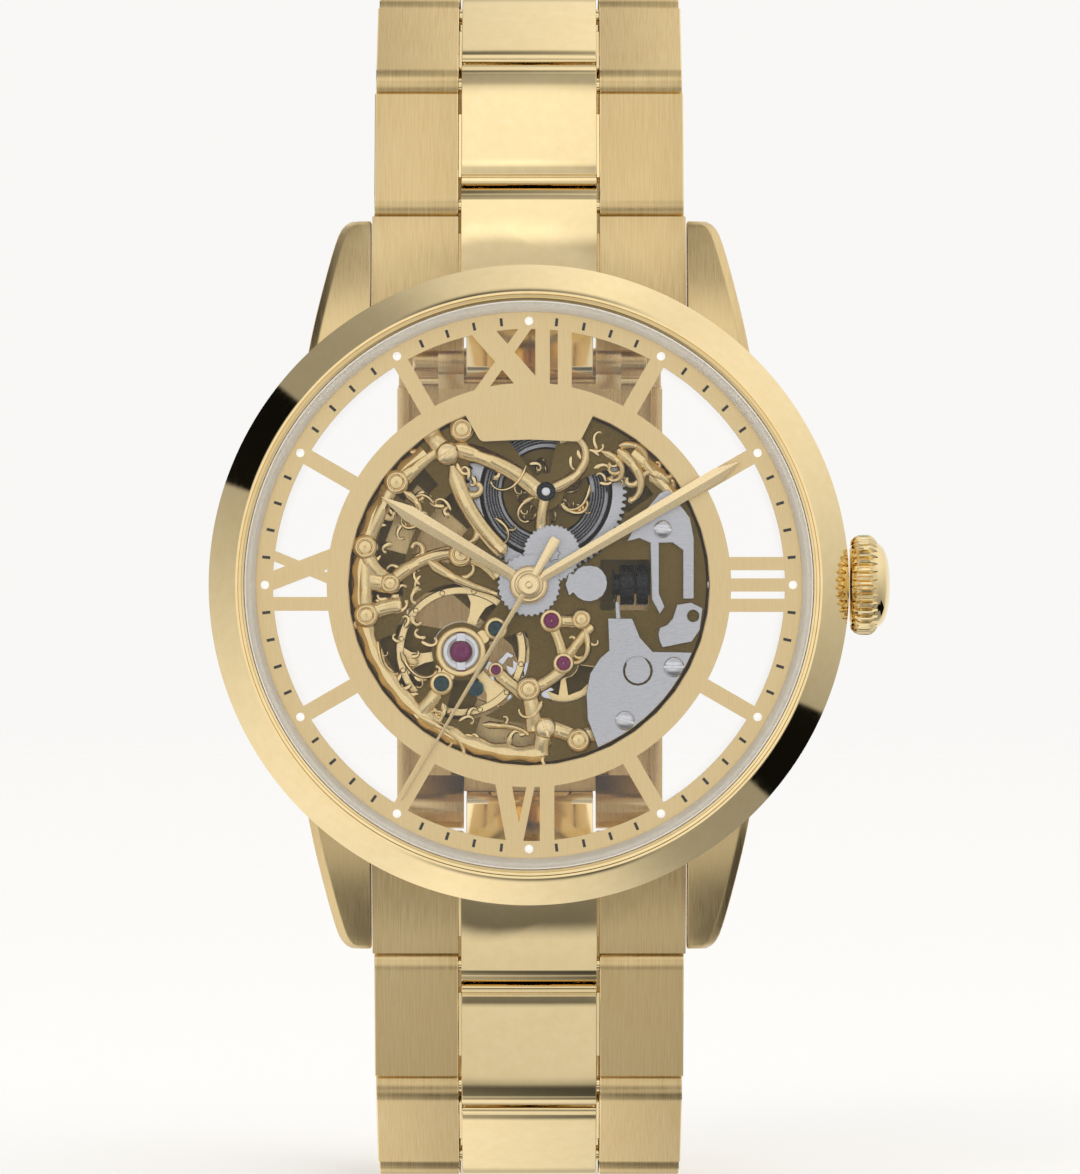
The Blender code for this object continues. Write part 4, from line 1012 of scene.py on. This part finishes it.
# Cast scrolls of the open front plate. Each is a start (x, z), the clock it leaves towards, its length, how
# far it bends evenly, how far it curls at its end, its half width, and how many leaves it bears.
scrolls = (
    (-5.6, 9.5, 100, 7.6, 36, 0, 0.62, 0), (-5.3, 8.2, 165, 7.2, -34, 0, 0.6, 2),
    (-9.1, 7.1, 55, 4.2, -14, 20, 0.7, 1), (-8.6, 6.4, 118, 3.4, 60, 190, 0.36, 2),
    (-5.7, 9.0, 320, 1.9, 10, 0, 0.7, 0),
    (-11.3, 2.6, 170, 2.9, -50, 0, 0.6, 0), (-9.6, 0.1, 45, 5.9, 46, 0, 0.5, 1),
    (-9.3, 7.0, 205, 4.6, 0, 0, 0.55, 1),
    (-9.5, 0.1, 275, 1.9, 10, 0, 0.7, 0), (-7.0, 1.7, 128, 5.6, -32, 10, 0.44, 1),
    (-11.2, -2.1, 60, 2.6, 30, 0, 0.6, 0), (-6.2, -7.2, 215, 2.6, 10, 0, 0.55, 1),
    (-11.3, -2.0, 0, 4.6, 0, 0, 0.55, 0),
    (-7.6, -9.0, 120, 4.6, -26, 100, 0.34, 2), (-2.3, -5.9, 135, 2.7, -10, 0, 0.5, 0),
    (0.1, -7.2, 70, 3.1, -30, 0, 0.5, 0), (2.4, -5.4, 352, 3.0, -20, 0, 0.42, 0),
    (2.5, -5.3, 28, 3.2, 20, 0, 0.4, 1), (0.0, -7.3, 168, 2.9, 10, 0, 0.6, 0),
    (1.2, -9.9, 205, 2.0, -30, 0, 0.6, 1), (1.3, -9.8, 105, 2.4, 10, 0, 0.6, 0),
    (1.17, 6.43, 68, 6.6, -22, -210, 0.5, 0), (5.0, 9.2, 110, 3.6, 40, 200, 0.34, 2),
    (1.17, 6.3, 196, 2.6, -18, 0, 0.42, 0),
    (0.3, 6.0, 250, 2.8, -60, -160, 0.24, 1), (-0.2, 8.2, 200, 3.6, 40, 120, 0.2, 1),
    (2.2, 5.6, 140, 2.9, -70, -150, 0.24, 1),
    (4.2, 6.9, 190, 3.2, 30, 150, 0.2, 1), (-2.3, 4.6, 120, 2.6, 50, 130, 0.2, 1),
    (7.9, 8.6, 150, 3.6, -40, -180, 0.4, 2), (6.2, 9.6, 80, 3.2, 50, 140, 0.34, 1),
    (1.53, -2.5, 88, 2.4, 10, 0, 0.5, 0), (-3.2, -9.6, 95, 3.4, -15, 60, 0.3, 1),
    (-4.7, 2.1, 100, 3.2, 45, 0, 0.5, 0),
    (3.4, -10.6, 60, 1.4, 30, 0, 0.6, 0), (0.9, -8.0, 200, 2.6, 40, 160, 0.26, 1),
    (3.8, -3.0, 160, 3.4, 30, 140, 0.34, 2),
    (-7.2, 4.9, 200, 2.8, 70, 170, 0.22, 2), (-6.5, 5.5, 330, 2.4, -60, -190, 0.2, 1),
    (6.1, 9.3, 128, 4.6, 24, 120, 0.5, 2), (9.7, 6.9, 325, 2.8, -40, -150, 0.42, 1),
    (-8.8, -4.6, 160, 3.6, -30, -120, 0.22, 2), (-10.4, -3.9, 175, 3.0, -12, -90, 0.2, 2),
)


def scrollPath(x, z, heading, length, bend, curl, wide, level, thick, steps=24):
    points, widths, heights = [], [], []
    for i in range(steps + 1):
        t = i / steps
        points.append((x, level, z))
        turn = math.radians(heading + bend * t + curl * t ** 2.5)
        x += math.sin(turn) * length / steps
        z += math.cos(turn) * length / steps
        taper = (0.35 + 0.65 * min(1.0, t * 8)) * (1 - (0.6 if curl else 0.12) * t)
        taper *= 1.5 if curl and i >= steps - 1 else 1.0
        widths.append(wide * (taper if i < steps else taper * 0.4))
        rise = 0.6 + 0.4 * math.sin(math.pi * min(1.0, 0.15 + t))
        heights.append(thick * rise * (1 if i < steps else 0.4))
    return points, widths, heights


def makeScrolls():
    chance = random.Random(7)
    paths = []
    for x, z, heading, length, bend, curl, wide, leaves in scrolls:
        main = scrollPath(x, z, heading, length, bend, curl, wide, -7.68, 0.34)
        paths.append(main)
        for leaf in range(leaves):
            t = (leaf + 0.8) / (leaves + 0.9)
            i = int(t * 24)
            start = main[0][i]
            sign = 1 if leaf % 2 else -1
            turn = heading + bend * t + curl * t ** 2.5
            paths.append(scrollPath(start[0], start[2], turn + sign * chance.uniform(25, 50),
                                    length * chance.uniform(0.3, 0.42), sign * 40,
                                    sign * chance.uniform(150, 230), wide * 0.62, -7.62, 0.2, 16))
    finishPiece("castScrolls", tubeMesh(paths, 10), "case", giltBright, angle=50)
    # Small foliage in low relief on the plate between the scrolls, kept clear of the windows' edges.
    small = []
    for i in range(75):
        clock, radius = chance.uniform(172, 400), math.sqrt(chance.uniform(7.2 ** 2, 11.6 ** 2))
        x, z = polar(radius, clock)
        if z > 9.4 and abs(x) < 4.6 or x > 3.2 and z < 6.5 or x > 9.2:
            continue
        sign = chance.choice((-1, 1))
        small.append(scrollPath(x, z, chance.uniform(0, 360), chance.uniform(0.8, 1.7), sign * 30,
                                sign * chance.uniform(120, 230), chance.uniform(0.17, 0.26), -7.6, 0.15, 12))
    finishPiece("smallFoliage", tubeMesh(small, 6), "case", giltBright, angle=50)
    rim = []
    for start, end in ((176, 322), (38, 62)):
        points = [polar(11.62, clock) for clock in range(start, end + 1, 2)]
        rim.append(([(x, -7.62, z) for x, z in points],
                    [0.56 + 0.1 * math.sin(i * 1.3) for i in range(len(points))], [0.3] * len(points)))
    finishPiece("rimMoulding", tubeMesh(rim, 10), "case", giltBright, angle=50)


rubies = ((*thirdAt, 0.46), (*fourthAt, 0.42), (*palletAt, 0.3))
tealJewels = ((-2.28, -3.0, 0.46), (-6.02, -6.78, 0.46))
bosses = ((-9.12, 7.08, 0.62), (-4.61, 10.73, 0.62), (-11.28, 2.61, 0.62), (-11.2, -2.08, 0.62),
          (-9.56, 0.12, 0.5), (3.6, -2.34, 0.5), (-0.03, -7.16, 0.62), (3.42, -10.67, 0.6), (-4.7, 2.1, 0.62))
goldScrews = ((-5.62, 9.06, 0.72), (1.14, -9.85, 0.66))
steelScrews = ((9.2, 3.85, 0.62), (9.97, -5.64, 0.7), (6.6, -9.32, 0.67))


def makeFittings():
    plate, jewelTop = -7.93, -8.0
    finishPiece("bosses", spotsMesh(bossShape(), giltBright, [(x, plate, z, r) for x, z, r in bosses]), "case",
                giltBright, angle=40)
    seats = [(x, plate, z, r * 0.82) for x, z, r in goldScrews]
    finishPiece("screwSeats", spotsMesh(bossShape(), giltBright, seats), "case", giltBright,
                angle=40)
    screws = [(x, plate - 0.12, z, r) for x, z, r in goldScrews]
    finishPiece("goldScrews", spotsMesh(slottedHead(), handGold, screws, 3), "case", handGold,
                angle=30)
    front = low("train_cover_plate").y
    screws = [(x, front - 0.02, z, r) for x, z, r in steelScrews]
    finishPiece("steelScrews", spotsMesh(slottedHead(), steelPolished, screws, 5), "case", steelPolished,
                angle=30)
    for name, spots, look in (("rubies", rubies, ruby), ("tealJewels", tealJewels, tealJewel)):
        places = [(x, jewelTop, z, r) for x, z, r in spots]
        finishPiece(name + "Settings", spotsMesh(settingShape(), giltBright, places), "case", giltBright,
                    angle=40)
        finishPiece(name, spotsMesh(stoneShape(), look, places), "case", look, angle=40)
    stone = turnedMesh([(0, -7.62), (0.67, -7.62), (0.67, -7.86), (0.5, -7.94), (0.24, -7.92), (0.12, -7.86),
                        (0, -7.84)], balanceAt, 40)
    finishPiece("balanceRuby", stone, "case", ruby)
    ball = turnedMesh([(0, -7.5), (0.55, -7.5), (0.52, -7.75), (0.38, -7.92), (0.18, -7.99), (0, -8.0)],
                      (-3.65, -7.13), 32)
    finishPiece("tealCap", ball, "case", tealJewel)
    finishPiece("rotorMass", nodeMesh("rotor", 0.12, 2, 1), "rotor", [satinGold, polishedGold],
                ["rotor"], 28)


makeMainplate()
makeWheels()
makeBalance()
makeScrolls()
makeFittings()

studio = {
    "cameraAt": (0.00076, -0.60875, -0.00014), "lens": 267.7,
    "floorRadius": 2.2, "fadeStart": 0.25, "floorGlow": 0.3,
    "brightClock": 45, "ringLevel": 0.69, "ringSwing": 0.34,
    "frontLevel": 0.68, "axisTowards": (-0.06, -1.0, 0.2),
    "axisLevel": 0.34, "frontTilt": 0.25, "backLevel": 0.945,
    "flags": ((298.5, 9.5), (122.5, 8.5)), "flagY": 0.25, "flagHalfY": 0.3,
    "banks": ((38, 7, 5, 0.26), (19, 4, 5, -0.4), (60, 7, 7, -0.42), (108, 10, 8, 0.26), (84, 5, 7, -0.4),
              (135, 6, 8, -0.25)),
    "boxTowards": (-0.35, -0.65, 0.68), "boxLevel": 0.05,
    "lamps": (("keySoftbox", (-0.25, -0.5, 0.45), 0.3, 0.5),),
}


# Studio

def makeFloor():
    floor = bpy.data.meshes.new("paleFloor")
    built = bmesh.new()
    bmesh.ops.create_circle(built, cap_ends=True, segments=96, radius=studio["floorRadius"])
    built.transform(Matrix.Translation((0, 0, cadBox[0].z - 0.0002)))
    built.to_mesh(floor)
    built.free()
    look, tree, shader = newLook("palePaperSweep", {
        "Roughness": 0.9, "Emission Color": linear("#FBFAF8"), "Emission Strength": studio["floorGlow"]})
    place = addNode(tree, "ShaderNodeTexCoord").outputs["Object"]
    away = addNode(tree, "ShaderNodeVectorMath", {0: place}, operation="LENGTH").outputs[1]
    fade = addNode(tree, "ShaderNodeMapRange", {"Value": away, "From Min": studio["fadeStart"],
                                                "From Max": studio["floorRadius"] * 0.95, "To Min": 1.0,
                                                "To Max": 0.0})
    grain = addNode(tree, "ShaderNodeTexNoise", {"Vector": place, "Scale": 900.0})
    tone = addNode(tree, "ShaderNodeValToRGB", {"Fac": grain}, stops=((0.2, "#F4F3F1"), (0.8, "#FAF9F8")))
    setInputs(tree, shader, {"Base Color": tone, "Alpha": fade})
    floor.materials.append(look)
    made = bpy.data.objects.new("paleFloor", floor)
    bpy.context.scene.collection.objects.link(made)
    made.visible_glossy = False


def makeWorld():  # a soft studio drawn by direction: x towards 3 o'clock, z towards 12, -y ahead of the dial
    world = bpy.data.worlds.new("softStudio")
    bpy.context.scene.world = world
    world.use_nodes = True
    tree = world.node_tree
    tree.nodes.clear()
    towards = addNode(tree, "ShaderNodeTexCoord").outputs["Generated"]
    x, y, z = addNode(tree, "ShaderNodeSeparateXYZ", {0: towards}).outputs
    eased = {"interpolation_type": "SMOOTHSTEP"}

    def band(value, centre, half, soft):  # 1 within half of the centre, fading to 0 over soft
        shifted = addNode(tree, "ShaderNodeMath", {0: value, 1: centre}, operation="SUBTRACT")
        away = addNode(tree, "ShaderNodeMath", {0: shifted}, operation="ABSOLUTE")
        return addNode(tree, "ShaderNodeMapRange", {"Value": away, "From Min": half, "From Max": half + soft,
                                                    "To Min": 1.0, "To Max": 0.0}, **eased)

    def spot(direction, start, end, level):  # a round glow about a direction
        ahead = addNode(tree, "ShaderNodeVectorMath", {0: towards, 1: Vector(direction).normalized()[:]},
                        operation="DOT_PRODUCT")
        return addNode(tree, "ShaderNodeMapRange", {"Value": ahead.outputs["Value"], "From Min": start,
                                                    "From Max": end, "To Max": level}, **eased)

    clock = addNode(tree, "ShaderNodeMath", {0: x, 1: z}, operation="ARCTAN2")
    turned = addNode(tree, "ShaderNodeMath", {0: clock, 1: math.radians(studio["brightClock"])},
                     operation="SUBTRACT")
    doubled = addNode(tree, "ShaderNodeMath", {0: turned, 1: 2.0}, operation="MULTIPLY")
    swing = addNode(tree, "ShaderNodeMath", {0: doubled}, operation="COSINE")
    sides = addNode(tree, "ShaderNodeMath", {0: swing, 1: studio["ringSwing"], 2: studio["ringLevel"]},
                    operation="MULTIPLY_ADD")
    tilted = addNode(tree, "ShaderNodeMath", {0: z, 1: studio["frontTilt"], 2: studio["frontLevel"]},
                     operation="MULTIPLY_ADD")
    ahead = spot(studio["axisTowards"], 0.9, 0.975, studio["axisLevel"])
    front = addNode(tree, "ShaderNodeMath", {0: tilted, 1: ahead}, operation="ADD")
    beside = addNode(tree, "ShaderNodeMapRange", {"Value": y, "From Min": -0.75, "From Max": -0.15}, **eased)
    level = addNode(tree, "ShaderNodeMix", {0: beside, 2: front, 3: sides})
    behind = addNode(tree, "ShaderNodeMapRange", {"Value": y, "From Min": 0.45, "From Max": 0.75}, **eased)
    level = addNode(tree, "ShaderNodeMix", {0: behind, 2: level, 3: studio["backLevel"]})
    for centre, half in studio["flags"]:  # black cards beside the bezel, which give it its two dark arcs
        turned = addNode(tree, "ShaderNodeMath", {0: clock, 1: math.radians(centre)}, operation="SUBTRACT")
        away = addNode(tree, "ShaderNodeMath", {0: turned}, operation="COSINE")
        inside = addNode(tree, "ShaderNodeMapRange", {"Value": away,
                                                      "From Min": math.cos(math.radians(half + 1.0)),
                                                      "From Max": math.cos(math.radians(half))}, **eased)
        depth = band(y, studio["flagY"], studio["flagHalfY"], 0.02)
        card = addNode(tree, "ShaderNodeMath", {0: inside, 1: depth}, operation="MULTIPLY")
        dark = addNode(tree, "ShaderNodeMath", {0: card, 1: 0.985}, operation="MULTIPLY")
        left = addNode(tree, "ShaderNodeMath", {0: 1.0, 1: dark}, operation="SUBTRACT")
        level = addNode(tree, "ShaderNodeMath", {0: level, 1: left}, operation="MULTIPLY")
    upright = addNode(tree, "ShaderNodeMath", {0: z}, operation="ABSOLUTE")
    forward = addNode(tree, "ShaderNodeMath", {0: y, 1: -1.0}, operation="MULTIPLY")
    turn = addNode(tree, "ShaderNodeMath", {0: upright, 1: forward}, operation="ARCTAN2")
    tilt = addNode(tree, "ShaderNodeMath", {0: turn, 1: 180 / math.pi}, operation="MULTIPLY")
    near = band(x, 0.0, 0.2, 0.3)
    for centre, half, soft, gain in studio["banks"]:  # long softboxes and gaps above and below the bracelet
        bank = addNode(tree, "ShaderNodeMath", {0: band(tilt, centre, half, soft), 1: near},
                       operation="MULTIPLY")
        level = addNode(tree, "ShaderNodeMath", {0: bank, 1: gain, 2: level}, operation="MULTIPLY_ADD")
    box = spot(studio["boxTowards"], 0.8, 0.93, studio["boxLevel"])
    level = addNode(tree, "ShaderNodeMath", {0: level, 1: box}, operation="ADD")
    paper = addNode(tree, "ShaderNodeBackground", {"Color": linear("#FFFEFC"), "Strength": level})
    addNode(tree, "ShaderNodeOutputWorld", {"Surface": paper})


def makeLampsAndCamera():
    for name, place, size, power in studio["lamps"]:  # soft, and not itself seen in the polished metal
        lamp = bpy.data.lights.new(name, "AREA")
        lamp.shape, lamp.size, lamp.energy = "DISK", size, power
        made = bpy.data.objects.new(name, lamp)
        made.location, made.visible_glossy = place, False
        made.rotation_euler = (Vector((0, 0, 0)) - Vector(place)).to_track_quat("-Z", "Y").to_euler()
        bpy.context.scene.collection.objects.link(made)

    camera = bpy.data.cameras.new("camera")
    camera.lens, camera.sensor_width = studio["lens"], 36.0
    camera.clip_start, camera.clip_end = 0.05, 20.0
    made = bpy.data.objects.new("camera", camera)
    made.location = studio["cameraAt"]
    made.rotation_euler = (math.radians(90), 0, 0)
    bpy.context.scene.collection.objects.link(made)
    bpy.context.scene.camera = made
    bpy.context.scene.view_settings.view_transform = "Standard"


print("studio")
makeFloor()
makeWorld()
makeLampsAndCamera()
print("finished")
